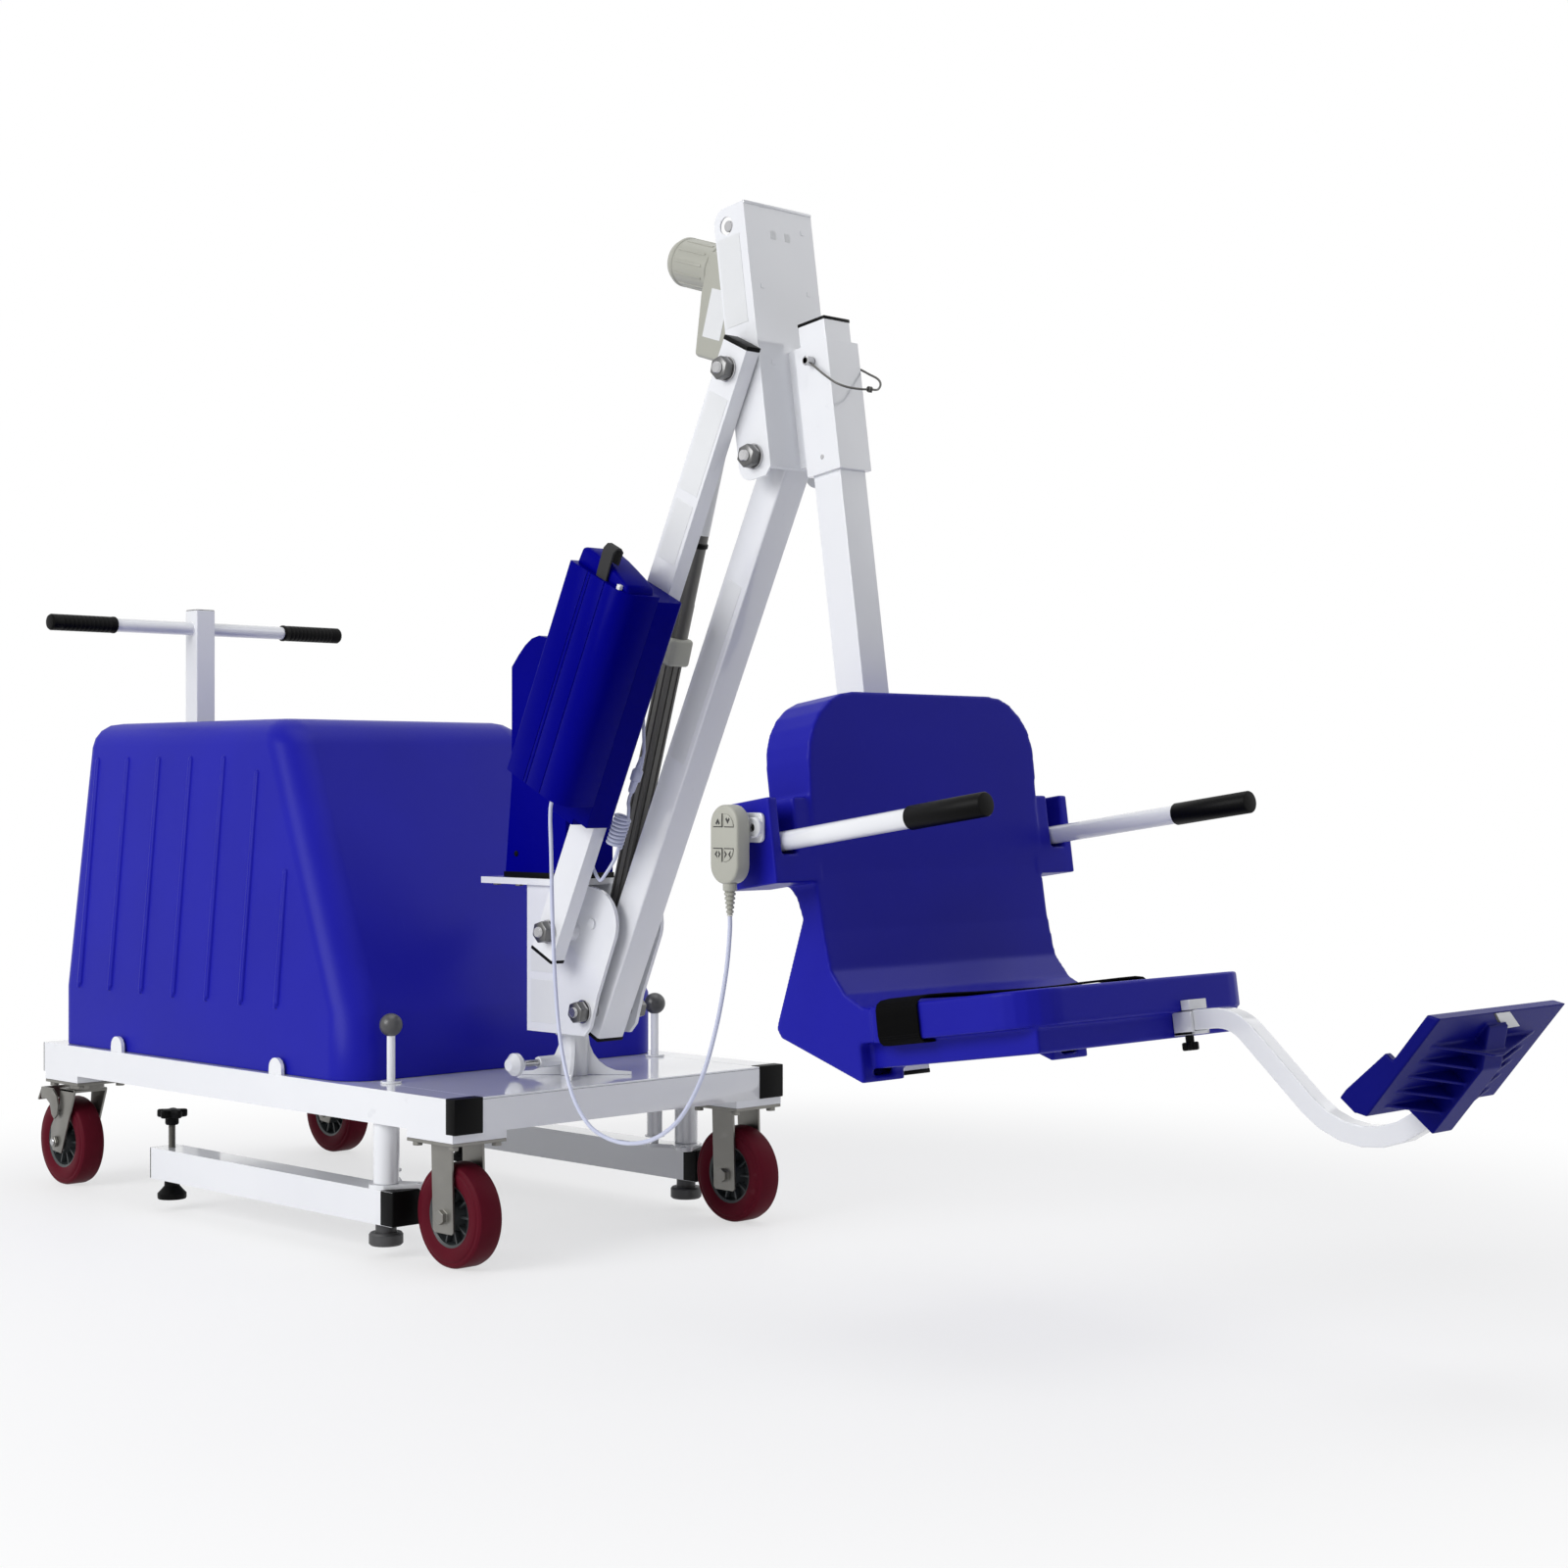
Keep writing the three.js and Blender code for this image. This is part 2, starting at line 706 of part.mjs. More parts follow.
function makeBaseFrame() {
  const crossEnds = [
    [-tubeSide, 0],
    span(tubeSide, -frameLength * midRailShare),
    [-frameLength, -frameLength + tubeSide],
  ];
  let frame = null;
  let hollow = null;
  for (const side of sides) {
    const railY = sideSpan(side, railInner, railHalf);
    const rail = block([-frameLength, -capFace - seatGap], railY, [frameBottom, frameTop]);
    const bore = block(
      [-frameLength + tubeWall, cutOver],
      sideSpan(side, railInner + tubeWall, railHalf - tubeWall),
      [frameBottom + tubeWall, frameTop - tubeWall],
    );
    frame = frame ? frame.add(rail) : rail;
    hollow = hollow ? hollow.add(bore) : bore;
  }
  for (const [from, to] of crossEnds) {
    const crossY = span(2 * (railInner + cutOver));
    frame = frame.add(block([from, to], crossY, [frameBottom, crossTop]));
    const reach = railInner + 2 * tubeWall;
    hollow = hollow.add(block(
      [from + tubeWall, to - tubeWall], [-reach, reach], [frameBottom + tubeWall, crossTop - tubeWall],
    ));
  }
  frame = frame.subtract(hollow);
  for (const side of sides) {
    frame = frame.subtract(block(
      [-capFace - seatGap, cutOver], sideSpan(side, railInner, railHalf + cutOver), [frameBottom, frameTop],
    ));
    const padY = sideSpan(side, railHalf - padWidth, railHalf);
    const frontPad = [-frontPadInset - padLength, -frontPadInset];
    const rearPad = [-frameLength + rearPadInset, -frameLength + rearPadInset + padLength];
    for (const padX of [frontPad, rearPad]) {
      frame = frame.add(block(padX, padY, [padBottom, padTop + cutOver]));
    }
    for (const place of [frontTabPlace, rearTabPlace]) {
      const tab = [
        [-place - tabWidth / 2, frameTop - cutOver],
        [-place + tabWidth / 2, frameTop - cutOver],
        ...arc([-place, frameTop + tabHeight - tabWidth / 2], tabWidth / 2, 0, 180, smallSides),
      ];
      const outer = railHalf - cutOver;
      const tabY = sideSpan(side, outer - tabThickness, outer);
      frame = frame.add(prism('y', tab, ...tabY));
    }
    const guideY = side * lockRodY;
    const guide = turned('z', [-lockRodPlace, guideY], [
      [0, guideBottom], [guideRingRadius, guideBottom], [guideRingRadius, guideBottom + guideRing],
      [guideRadius, guideBottom + guideRing], [guideRadius, frameTop + seatGap],
      [guideRingRadius, frameTop + seatGap], [guideRingRadius, frameTop + seatGap + guideRing],
      [0, frameTop + seatGap + guideRing],
    ]);
    frame = frame.add(guide);
    frame = frame.subtract(rod(
      'z', [-lockRodPlace, guideY], lockRodRadius + seatGap,
      guideBottom - cutOver, frameTop + guideRing + cutOver,
    ));
  }
  const socketOuter = handlePostSide / 2 + seatGap + handleSocketWall;
  const socketZ = [frameTop - handleSocketHeight, crossTop];
  const socketX = [handleX - socketOuter, -frameLength + cutOver];
  frame = frame.add(block(socketX, span(2 * socketOuter), socketZ));
  const socketBore = span(handlePostSide + 2 * seatGap, handleX);
  frame = frame.subtract(block(
    socketBore, span(handlePostSide + 2 * seatGap), [socketZ[0] + handleSocketWall, frameTop + cutOver],
  ));
  return frame;
}

function makeDeckPlate() {
  const inner = railInner - seatGap;
  let deck = block([-frameLength, 0], [-inner, inner], [deckBottom, frameTop]);
  for (const side of sides) {
    deck = deck.subtract(rod(
      'z', [-lockRodPlace, side * lockRodY], guideRadius + seatGap, deckBottom - cutOver, frameTop + cutOver,
    ));
  }
  return deck;
}

function makeFrontCap(side) {
  const face = block([-capFace, 0], sideSpan(side, railInner, railHalf), [frameBottom, frameTop]);
  const inset = tubeWall + seatGap;
  const plug = block(
    [-capPlugLength, -capFace + seatGap],
    sideSpan(side, railInner + inset, railHalf - inset),
    [frameBottom + inset, frameTop - inset],
  );
  return face.add(plug);
}

function makeWheel(x) {
  const half = wheelWidth / 2;
  const hubHalf = forkHalfGap - seatGap;
  const rim = wheelRadius - tyreThickness;
  const shoulder = wheelRadius - tyreShoulder;
  const bore = axleRadius + seatGap;
  const profile = [
    [bore, -hubHalf], [hubRadius, -hubHalf], [hubRadius, -half + rimHollow], [rim, -half + rimHollow],
    [shoulder, -half], [wheelRadius, -half / 2], [wheelRadius, half / 2], [shoulder, half],
    [rim, half - rimHollow], [hubRadius, half - rimHollow], [hubRadius, hubHalf], [bore, hubHalf],
    [bore, -hubHalf],
  ];
  return turned('y', [x, wheelRadius], profile, wheelSides);
}

function addWheel(name, x, y) {
  addPiece(lift, name, makeWheel(x), 'tyre').position.y = y;
}

// One fork leg, a strap with broken corners at its toe, seen from the side.
function forkLegOutline(x, topX, top) {
  const half = forkWidth / 2;
  const toe = wheelRadius - forkToe;
  return [
    [topX + half, top],
    [topX - half, top],
    [x - half, toe + forkCorner],
    [x - half + forkCorner, toe],
    [x + half - forkCorner, toe],
    [x + half, toe + forkCorner],
  ];
}

function makeFork(x, topX, y, top) {
  const outer = forkHalfGap + forkStrap;
  let fork = null;
  for (const side of sides) {
    const legY = sideSpan(side, forkHalfGap, outer).map((value) => value + y);
    const leg = prism('y', forkLegOutline(x, topX, top), ...legY);
    fork = fork ? fork.add(leg) : leg;
    const head = sideSpan(side, outer - cutOver, outer + boltHeadHeight).map((value) => value + y);
    fork = fork.add(rod('y', [x, wheelRadius], boltHeadRadius, ...head, hexSides));
  }
  return fork.add(rod('y', [x, wheelRadius], axleRadius, y - outer, y + outer, smallSides));
}

function makeFrontFork(side) {
  const y = side * casterY;
  const plateTop = padBottom - seatGap;
  const plateBottom = plateTop - casterPlateThickness;
  const x = -frontAxlePlace;
  const padX = [-frontPadInset - padLength, -frontPadInset];
  const plate = block(padX, sideSpan(side, railHalf - padWidth, railHalf), [plateBottom, plateTop]);
  const forkTop = plateBottom + cutOver;
  return plate.add(makeFork(x, x - frontPadInset, y, forkTop));
}

const swivelX = -swivelPlace;
const rearAxleX = swivelX - casterTrail;
const rearPlateTop = padBottom - seatGap;
const rearPlateBottom = rearPlateTop - casterPlateThickness;
const racewayBottom = rearPlateBottom - racewayHeight;
const crownTop = racewayBottom - seatGap;
const crownBottom = crownTop - crownThickness;

function makeSwivelPlate(side) {
  const y = side * casterY;
  const padX = [-frameLength + rearPadInset, -frameLength + rearPadInset + padLength];
  const plate = block(padX, sideSpan(side, railHalf - padWidth, railHalf), [rearPlateBottom, rearPlateTop]);
  const raceway = rod('z', [swivelX, y], racewayRadius, racewayBottom, rearPlateBottom + cutOver);
  const boreRadius = kingPinRadius + seatGap;
  const bore = rod('z', [swivelX, y], boreRadius, racewayBottom - cutOver, rearPlateTop - seatGap);
  return cut(joined(plate, raceway), bore);
}

function makeRearFork(side) {
  const y = side * casterY;
  const outer = forkHalfGap + forkStrap;
  const half = forkWidth / 2;
  const crownX = [rearAxleX - half + crownLead, swivelX + racewayRadius];
  const crown = block(crownX, [y - outer, y + outer], [crownBottom, crownTop]);
  const legs = makeFork(rearAxleX, (rearAxleX + swivelX) / 2, y, crownBottom + cutOver);
  const pin = rod('z', [swivelX, y], kingPinRadius, crownTop - cutOver, rearPlateBottom);
  const lugX = crownX[0] - pedalLug;
  const pinBore = span(2 * (outer + cutOver), y);
  const pinRoom = pedalPivotRadius / 2 + seatGap;
  let fork = joined(crown, legs, pin);
  for (const edge of sides) {
    const lugY = sideSpan(edge, outer - forkStrap, outer).map((value) => value + y);
    const lug = block([lugX - pedalLug, crownX[0] + cutOver], lugY, [crownBottom, crownTop]);
    fork = fork.add(lug);
  }
  return cut(fork, rod('y', [lugX, (crownBottom + crownTop) / 2], pinRoom, ...pinBore, smallSides));
}

const pedalPivot = [rearAxleX - forkWidth / 2 + crownLead - pedalLug, (crownBottom + crownTop) / 2];

function makeBrakePedal(side) {
  const y = side * casterY;
  const outer = forkHalfGap + forkStrap;
  const [px, pz] = pedalPivot;
  const outline = [
    [px + pedalPivotRadius, pz - pedalThickness / 2], [px + pedalPivotRadius, pz + pedalThickness / 2],
    [px - pedalLength / 2, pz + pedalThickness / 2 + pedalRise / 2],
    [px - pedalLength, pz + pedalRise + pedalThickness],
    [px - pedalLength, pz + pedalRise], [px - pedalLength / 2, pz - pedalThickness / 2 + pedalRise / 2],
  ];
  const tread = prism('y', outline, ...span(pedalWidth, y));
  const hub = rod('y', pedalPivot, pedalPivotRadius, ...span(2 * forkHalfGap - 2 * seatGap, y), smallSides);
  const pin = rod('y', pedalPivot, pedalPivotRadius / 2, y - outer, y + outer, smallSides);
  return joined(tread, hub, pin);
}

function makeOutriggerPost(side) {
  const centre = [-outriggerPivotPlace, side * outriggerY];
  const footTop = postFootBottom + postFootHeight;
  return turned('z', centre, [
    [0, postFootBottom], [postFootRadius, postFootBottom], [postFootRadius, footTop],
    [postRadius, footTop], [postRadius, outriggerBottom - seatGap],
    [postPinRadius, outriggerBottom - seatGap],
    [postPinRadius, latchTop + seatGap], [postRadius, latchTop + seatGap],
    [postRadius, frameBottom - seatGap], [0, frameBottom - seatGap],
  ]);
}

function makeOutriggerArm(side) {
  const y = side * outriggerY;
  const front = -outriggerPivotPlace + outriggerNose;
  const rear = -outriggerPivotPlace - outriggerReach;
  const tubeY = span(tubeSide, y);
  const tube = block([rear, front], tubeY, [outriggerBottom, outriggerTop]);
  const bore = block(
    [rear + tubeWall, front - tubeWall],
    span(tubeSide - 2 * tubeWall, y),
    [outriggerBottom + tubeWall, outriggerTop - tubeWall],
  );
  const pivot = [-outriggerPivotPlace, y];
  const sleeve = rod('z', pivot, postRadius, outriggerBottom + cutOver, outriggerTop - cutOver);
  const levellerX = rear + levellerPlace;
  const latchSpan = [outriggerTop - seatGap, latchTop];
  const holeSpan = [outriggerTop - cutOver, latchTop + cutOver];
  let latch = rod('z', pivot, latchRootRadius, ...latchSpan);
  const tools = [
    rod('z', pivot, postPinRadius + seatGap, outriggerBottom - cutOver, latchTop + cutOver),
    rod('z', [levellerX, y], levellerRodRadius + seatGap, outriggerBottom - cutOver, latchTop + cutOver),
  ];
  for (const place of latchPlaces(side)) {
    const run = new THREE.Vector2(place[0] - pivot[0], place[1] - pivot[1]).normalize();
    const edge = ([cx, cy], reach) => [cx - run.y * reach, cy + run.x * reach];
    const web = [
      edge(pivot, latchRootRadius), edge(pivot, -latchRootRadius),
      edge(place, -latchLobeRadius), edge(place, latchLobeRadius),
    ];
    latch = joined(latch, prism('z', web, ...latchSpan), rod('z', place, latchLobeRadius, ...latchSpan));
    tools.push(rod('z', place, lockRodRadius + seatGap, ...holeSpan, smallSides));
  }
  return cut(joined(cut(tube, bore), sleeve, latch), ...tools);
}

// Where the lock rod meets the latch plate, with the outrigger folded back and swung out.
function latchPlaces(side) {
  const [stepX, stepY] = [lockRodPlace - outriggerPivotPlace, outriggerY - lockRodY];
  const pivot = [-outriggerPivotPlace, side * outriggerY];
  return [
    [pivot[0] - stepX, pivot[1] - side * stepY],
    [pivot[0] + stepY, pivot[1] - side * stepX],
  ];
}

function knobOutline(radius, centre) {
  const points = [];
  for (let k = 0; k < knobSteps; k += 1) {
    const angle = (2 * Math.PI * k) / knobSteps;
    const reach = radius * (1 - knobLobeShare + knobLobeShare * Math.cos(knobLobes * angle));
    points.push([centre[0] + reach * Math.cos(angle), centre[1] + reach * Math.sin(angle)]);
  }
  return points;
}

function makeLevellingScrew(side) {
  const centre = [-outriggerPivotPlace - outriggerReach + levellerPlace, side * outriggerY];
  const knobTop = levellerKnobBase + levellerKnobHeight;
  const knob = prism('z', knobOutline(levellerKnobRadius, centre), levellerKnobBase, knobTop);
  const shaft = turned('z', centre, [
    [0, levellerFootBottom], [levellerFootRadius, levellerFootBottom],
    [levellerFootRadius, levellerFootBottom + levellerFootRim],
    [levellerNeckRadius, outriggerBottom - levellerFootRim], [levellerNeckRadius, outriggerBottom - seatGap],
    [levellerRodRadius, outriggerBottom - seatGap], [levellerRodRadius, levellerKnobBase - levellerHubDrop],
    [levellerHubRadius, levellerKnobBase - levellerHubDrop], [levellerHubRadius, levellerKnobBase + cutOver],
    [0, levellerKnobBase + cutOver],
  ]);
  return joined(knob, shaft);
}

function makeLockRod(side) {
  const centre = [-lockRodPlace, side * lockRodY];
  const shaft = rod('z', centre, lockRodRadius, latchTop + seatGap, lockBallHeight);
  const ball = new THREE.SphereGeometry(lockBallRadius, roundSides, smallSides);
  ball.rotateX(Math.PI / 2);
  ball.translate(centre[0], centre[1], lockBallHeight);
  return joined(shaft, toSolid(ball));
}

// One level outline of the cover, at a height share of its sloped part.
function coverRing(height, inset) {
  const rise = Math.max(0, height - coverSkirt);
  const share = rise / (coverHeight - coverSkirt);
  const rear = -coverRear + (coverRear - coverTopRear) * share + inset;
  const front = -coverFront - (coverTopFront - coverFront) * share - inset;
  const half = (coverWidth - (coverWidth - coverTopWidth) * share) / 2 - inset;
  const radius = Math.max(coverCornerRadius - inset, coverWall);
  const rearRadius = Math.max(coverRearRadius - inset, coverWall);
  return roundedBox([rear, front], [-half, half], radius, coverCornerSteps, rearRadius);
}

function coverSkin(shrink, base) {
  const rings = [];
  const foot = frameTop + seatGap;
  const add = (height, inset) => {
    const level = foot + height - shrink;
    rings.push(coverRing(height, inset + shrink).map(([x, y]) => [x, y, level]));
  };
  rings.push(coverRing(0, shrink).map(([x, y]) => [x, y, base]));
  add(coverSkirt, 0);
  const edgeFoot = coverHeight - coverEdgeRadius;
  for (let k = 0; k <= coverEdgeSteps; k += 1) {
    const angle = (Math.PI / 2) * (k / coverEdgeSteps);
    add(edgeFoot + coverEdgeRadius * Math.sin(angle), coverEdgeRadius * (1 - Math.cos(angle)));
  }
  return loft(rings);
}

function makeWeightCover() {
  const foot = frameTop + seatGap;
  let cover = coverSkin(0, foot);
  for (const side of sides) {
    for (let k = 0; k < ribCount; k += 1) {
      const height = ribHeight * ribHeightShares[k];
      const lean = ribLean * ribHeightShares[k];
      const x = -ribFirst + ribPitch * k;
      const slope = (coverWidth - coverTopWidth) / 2 / (coverHeight - coverSkirt);
      const low = coverWidth / 2;
      const high = low - slope * height;
      const ring = (centre, face, z) => [
        [centre - ribWidth / 2, side * (face - coverWall / 2), z],
        [centre + ribWidth / 2, side * (face - coverWall / 2), z],
        [centre + ribWidth / 4, side * (face + ribProud), z],
        [centre - ribWidth / 4, side * (face + ribProud), z],
      ];
      const base = foot + coverSkirt;
      cover = cover.add(loft([ring(x, low, base), ring(x - lean, high, base + height)]));
    }
  }
  return cover.subtract(coverSkin(coverWall, foot - cutOver));
}

function makeCounterweight() {
  const middle = -(coverRear + coverTopFront) / 2;
  const foot = frameTop + seatGap;
  let stack = block(span(weightLength, middle), span(weightWidth), [foot, foot + weightHeight]);
  for (let k = 1; k < weightPlates; k += 1) {
    const z = foot + (weightHeight * k) / weightPlates;
    for (const end of [-1, 1]) {
      const face = middle + (end * weightLength) / 2;
      const grooveX = span(2 * weightGroove, face);
      const groove = block(grooveX, span(weightWidth + cutOver), span(weightGroove / 2, z));
      stack = stack.subtract(groove);
    }
  }
  return stack;
}

function makePushHandle() {
  const foot = frameTop - handleSocketHeight + handleSocketWall + seatGap;
  const post = block(span(handlePostSide, handleX), span(handlePostSide), [foot, handleTop]);
  const hollow = block(
    span(handlePostSide - 2 * tubeWall, handleX), span(handlePostSide - 2 * tubeWall),
    [foot - cutOver, handleTop - tubeWall],
  );
  const half = handleBarSpan / 2 - tubeWall;
  return cut(post, hollow).add(rod('y', [handleX, handleBarHeight], handleBarRadius, -half, half));
}

function makeHandleGrip(side) {
  const end = (side * handleBarSpan) / 2;
  const inner = end - side * handleGripLength;
  const barEnd = side * (handleBarSpan / 2 - tubeWall + seatGap);
  const outerSpan = [Math.min(end, inner), Math.max(end, inner)];
  const boreSpan = [Math.min(barEnd, inner - side * cutOver), Math.max(barEnd, inner - side * cutOver)];
  const centre = [handleX, handleBarHeight];
  const sleeve = rod('y', centre, handleGripRadius, ...outerSpan);
  return cut(sleeve, rod('y', centre, handleBarRadius + seatGap, ...boreSpan));
}

// Pedestal: a bearing column with concave gussets
const slewX = -slewPlace;
const columnFoot = frameTop + seatGap;
const columnTop = frameTop + columnHeight;

function makePedestal() {
  const column = rod('z', [slewX, 0], columnRadius, columnFoot, columnTop);
  const flange = rod('z', [slewX, 0], columnFlangeRadius, columnTop - columnWall, columnTop);
  let pedestal = joined(column, flange);
  for (let k = 0; k < gussetCount; k += 1) {
    const outline = [[0, columnFoot], [gussetReach, columnFoot], [gussetReach, columnFoot + gussetTip / 2]];
    for (let step = 1; step <= gussetSteps; step += 1) {
      const angle = (Math.PI / 2) * (step / gussetSteps);
      const reach = gussetReach - gussetTip - (gussetReach - gussetTip - columnRadius) * Math.sin(angle);
      outline.push([reach, columnFoot + gussetHeight - (gussetHeight - gussetTip / 2) * Math.cos(angle)]);
    }
    outline.push([0, columnFoot + gussetHeight]);
    const shape = new THREE.Shape(outline.map(([a, b]) => new THREE.Vector2(a, b)));
    const geometry = new THREE.ExtrudeGeometry(shape, { depth: gussetThickness, bevelEnabled: false });
    geometry.translate(0, 0, -gussetThickness / 2);
    geometry.rotateX(Math.PI / 2);
    geometry.rotateZ(Math.PI / gussetCount + (2 * Math.PI * k) / gussetCount);
    geometry.translate(slewX, 0, 0);
    pedestal = pedestal.add(toSolid(geometry));
  }
  const knobCentre = [-knobPlaceX, columnFoot + knobRise];
  const bossEnd = -columnRadius / 2;
  pedestal = pedestal.add(rod('y', knobCentre, knobBossRadius, -knobBossReach, bossEnd, smallSides));
  const bore = rod('z', [slewX, 0], columnRadius - columnWall, columnFoot + columnWall, columnTop + cutOver);
  const knobBore = rod(
    'y', knobCentre, knobRodRadius + seatGap,
    -knobBossReach - cutOver, -knobPinReach + seatGap, smallSides,
  );
  return cut(pedestal, bore, knobBore);
}

function makeSlewKnob() {
  const centre = [-knobPlaceX, columnFoot + knobRise];
  const ball = new THREE.SphereGeometry(knobBallRadius, smallSides, 2 * hexSides);
  ball.translate(centre[0], -knobReach, centre[1]);
  const stem = rod('y', centre, knobRodRadius, -knobReach, -knobPinReach, smallSides);
  return joined(toSolid(ball), stem);
}

// Mast: two cheek plates, a rear web and a base plate on the slewing pin
const mastHalf = mastWidth / 2;
const bearingRadius = columnRadius - columnWall - turnGap;

function cheekOutline() {
  const lobe = actuatorFoot;
  return [
    [-mastRear, mastBottom],
    [-mastToe - mastCorner, mastBottom],
    [-mastToe, mastBottom + mastCorner],
    [-mastToe + mastToeRise / 2, mastBottom + 2 * mastToeRise],
    ...arc(lobe, lobeRadius, lobeFrom, lobeTo, lobeSteps),
    [lobe[0] - lobeRadius / 4, mastTop],
    [-mastRear, mastTop],
  ];
}

function makeMastBody() {
  const cheek = prism('y', cheekOutline(), -mastHalf, mastHalf);
  const innerHalf = mastHalf - mastPlate;
  const gapX = [-mastRear + mastPlate, cutOver + lobeRadius];
  const hollow = block(gapX, [-innerHalf, innerHalf], [mastBottom + mastBasePlate, mastTop + cutOver]);
  const mouth = block(
    [-mastRear + mastBaseLength, cutOver + lobeRadius], [-innerHalf, innerHalf],
    [mastBottom - cutOver, mastBottom + mastBasePlate + cutOver],
  );
  const platform = block(
    [-platformRear, -platformFront], span(platformWidth), [mastTop - cutOver, mastTop + platformThickness],
  );
  const pin = rod('z', [slewX, 0], bearingRadius, mastBottom - mastPinLength, mastBottom + cutOver);
  const spacerEnd = mastHalf + linkStandOff - seatGap;
  const spacer = rod('y', linkFoot, spacerRadius, -spacerEnd, -mastHalf + cutOver);
  const footPinSpan = span(mastWidth + boltHeadHeight);
  const footPin = rod('y', actuatorFoot, actuatorPinRadius, ...footPinSpan);
  let mast = joined(cut(cheek, hollow, mouth), platform, pin, spacer, footPin);
  const boltRoom = pivotBoltRadius + seatGap;
  mast = mast.subtract(rod('y', armFoot, boltRoom, -mastHalf - cutOver, mastHalf + cutOver));
  return mast.subtract(rod('y', linkFoot, boltRoom, -spacerEnd - cutOver, -innerHalf + cutOver));
}

const motorFoot = mastTop + platformThickness + seatGap;
const motorTop = motorFoot + motorCoverHeight;

function motorCoverOutline(inset, foot) {
  const rear = -motorCoverRear + inset;
  const front = -motorCoverFront - inset;
  const top = motorTop - inset;
  const width = front - rear - motorCoverFlare;
  const crown = [];
  for (let k = 0; k <= motorCoverSteps; k += 1) {
    const share = k / motorCoverSteps;
    crown.push([front - width * share, top - motorCoverCrown * (1 - Math.sin(Math.PI * share))]);
  }
  return [[rear, foot], [front, foot], ...crown, [rear + motorCoverFlare, foot + motorCoverFlareHeight]];
}

function makeMotorCover() {
  const half = motorCoverWidth / 2;
  const outer = prism('y', motorCoverOutline(0, motorFoot), -half, half);
  const inner = prism(
    'y', motorCoverOutline(motorCoverWall, motorFoot - cutOver),
    -half + motorCoverWall, half - motorCoverWall,
  );
  return outer.subtract(inner);
}

function makeGearMotor() {
  const middle = -(motorCoverRear + motorCoverFront) / 2;
  const box = block(span(gearBoxLength, middle), span(gearBoxWidth), [motorFoot, motorFoot + gearBoxHeight]);
  const canTop = motorFoot + gearBoxHeight + motorCanHeight;
  return box.add(rod('z', [middle, 0], motorCanRadius, motorFoot + gearBoxHeight - cutOver, canTop));
}

// Pivot bolt with a washer and a nut on each outer face, in the frame of a link.
function pivotBolt(centre, from, to) {
  const faces = [[from, -1], [to, 1]];
  let bolt = rod('y', centre, pivotBoltRadius, from - pivotWasherThickness, to + pivotWasherThickness);
  for (const [face, outward] of faces) {
    const ends = (start, length) => {
      const [a, b] = [face + outward * start, face + outward * (start + length)];
      return [Math.min(a, b), Math.max(a, b)];
    };
    const washer = rod('y', centre, pivotWasherRadius, ...ends(seatGap, pivotWasherThickness));
    const nut = rod('y', centre, pivotNutRadius, ...ends(pivotWasherThickness, pivotNutHeight), hexSides);
    const threadStart = pivotWasherThickness + pivotNutHeight - cutOver;
    const threadSpan = ends(threadStart, pivotThreadLength + cutOver);
    const thread = rod('y', centre, pivotThreadRadius, ...threadSpan, smallSides);
    bolt = joined(bolt, washer, nut, thread);
  }
  return bolt;
}

const headHalf = headWidth / 2;

function makeLowerArm() {
  const half = tubeSide / 2;
  const outline = [
    [-armTail, -half],
    ...arc([linkLength, 0], half, -90, 90, smallSides),
    [-armTail, half],
  ];
  const bore = block(
    [-armTail + tubeWall, linkLength], span(tubeSide - 2 * tubeWall), span(tubeSide - 2 * tubeWall),
  );
  const vent = block([-armTail - cutOver, -armTail + 2 * tubeWall], span(tubeSide / 2), span(tubeSide / 2));
  const tube = cut(prism('y', outline, -half, half), bore, vent);
  const lower = pivotBolt([0, 0], -mastHalf, mastHalf);
  const upper = pivotBolt([linkLength, 0], -headHalf, headHalf);
  return joined(tube, lower, upper);
}

const linkInner = mastHalf + linkStandOff;
const linkOuter = linkInner + linkThickness;

function makeUpperLink() {
  const half = tubeSide / 2;
  const ends = [-linkTail, linkLength + linkTail];
  const tube = block(ends, [-linkOuter, -linkInner], [-half, half]);
  const bore = block(
    [ends[0] + tubeWall, ends[1] - tubeWall],
    [-linkOuter + tubeWall, -linkInner - tubeWall],
    [-half + tubeWall, half - tubeWall],
  );
  const tools = [[0, 0], [linkLength, 0]].map((centre) => rod(
    'y', centre, pivotBoltRadius + seatGap, -linkOuter - cutOver, -linkInner + cutOver,
  ));
  return cut(tube, bore, ...tools);
}

// A link pivot bolt from its nut on the link's outer face to a fixed inner end.
function makeLinkBolt(innerEnd) {
  const face = -linkOuter;
  const washerEnd = face - seatGap - pivotWasherThickness;
  const nutEnd = washerEnd - pivotNutHeight;
  return joined(
    rod('y', [0, 0], pivotBoltRadius, face - pivotWasherThickness, innerEnd),
    rod('y', [0, 0], pivotWasherRadius, washerEnd, face - seatGap),
    rod('y', [0, 0], pivotNutRadius, nutEnd, washerEnd + seatGap, hexSides),
    rod('y', [0, 0], pivotThreadRadius, nutEnd - pivotThreadLength, nutEnd + cutOver, smallSides),
  );
}

// Actuator, along its own line from the foot pivot
function makeActuatorRod() {
  const eye = rod('y', [0, 0], actuatorEyeRadius, ...span(actuatorEyeWidth));
  const shaft = rod('x', [0, 0], actuatorRodRadius, 0, actuatorRodLength);
  const bore = rod('y', [0, 0], actuatorPinRadius + seatGap, ...span(2 * actuatorEyeWidth));
  return cut(joined(eye, shaft), bore);
}

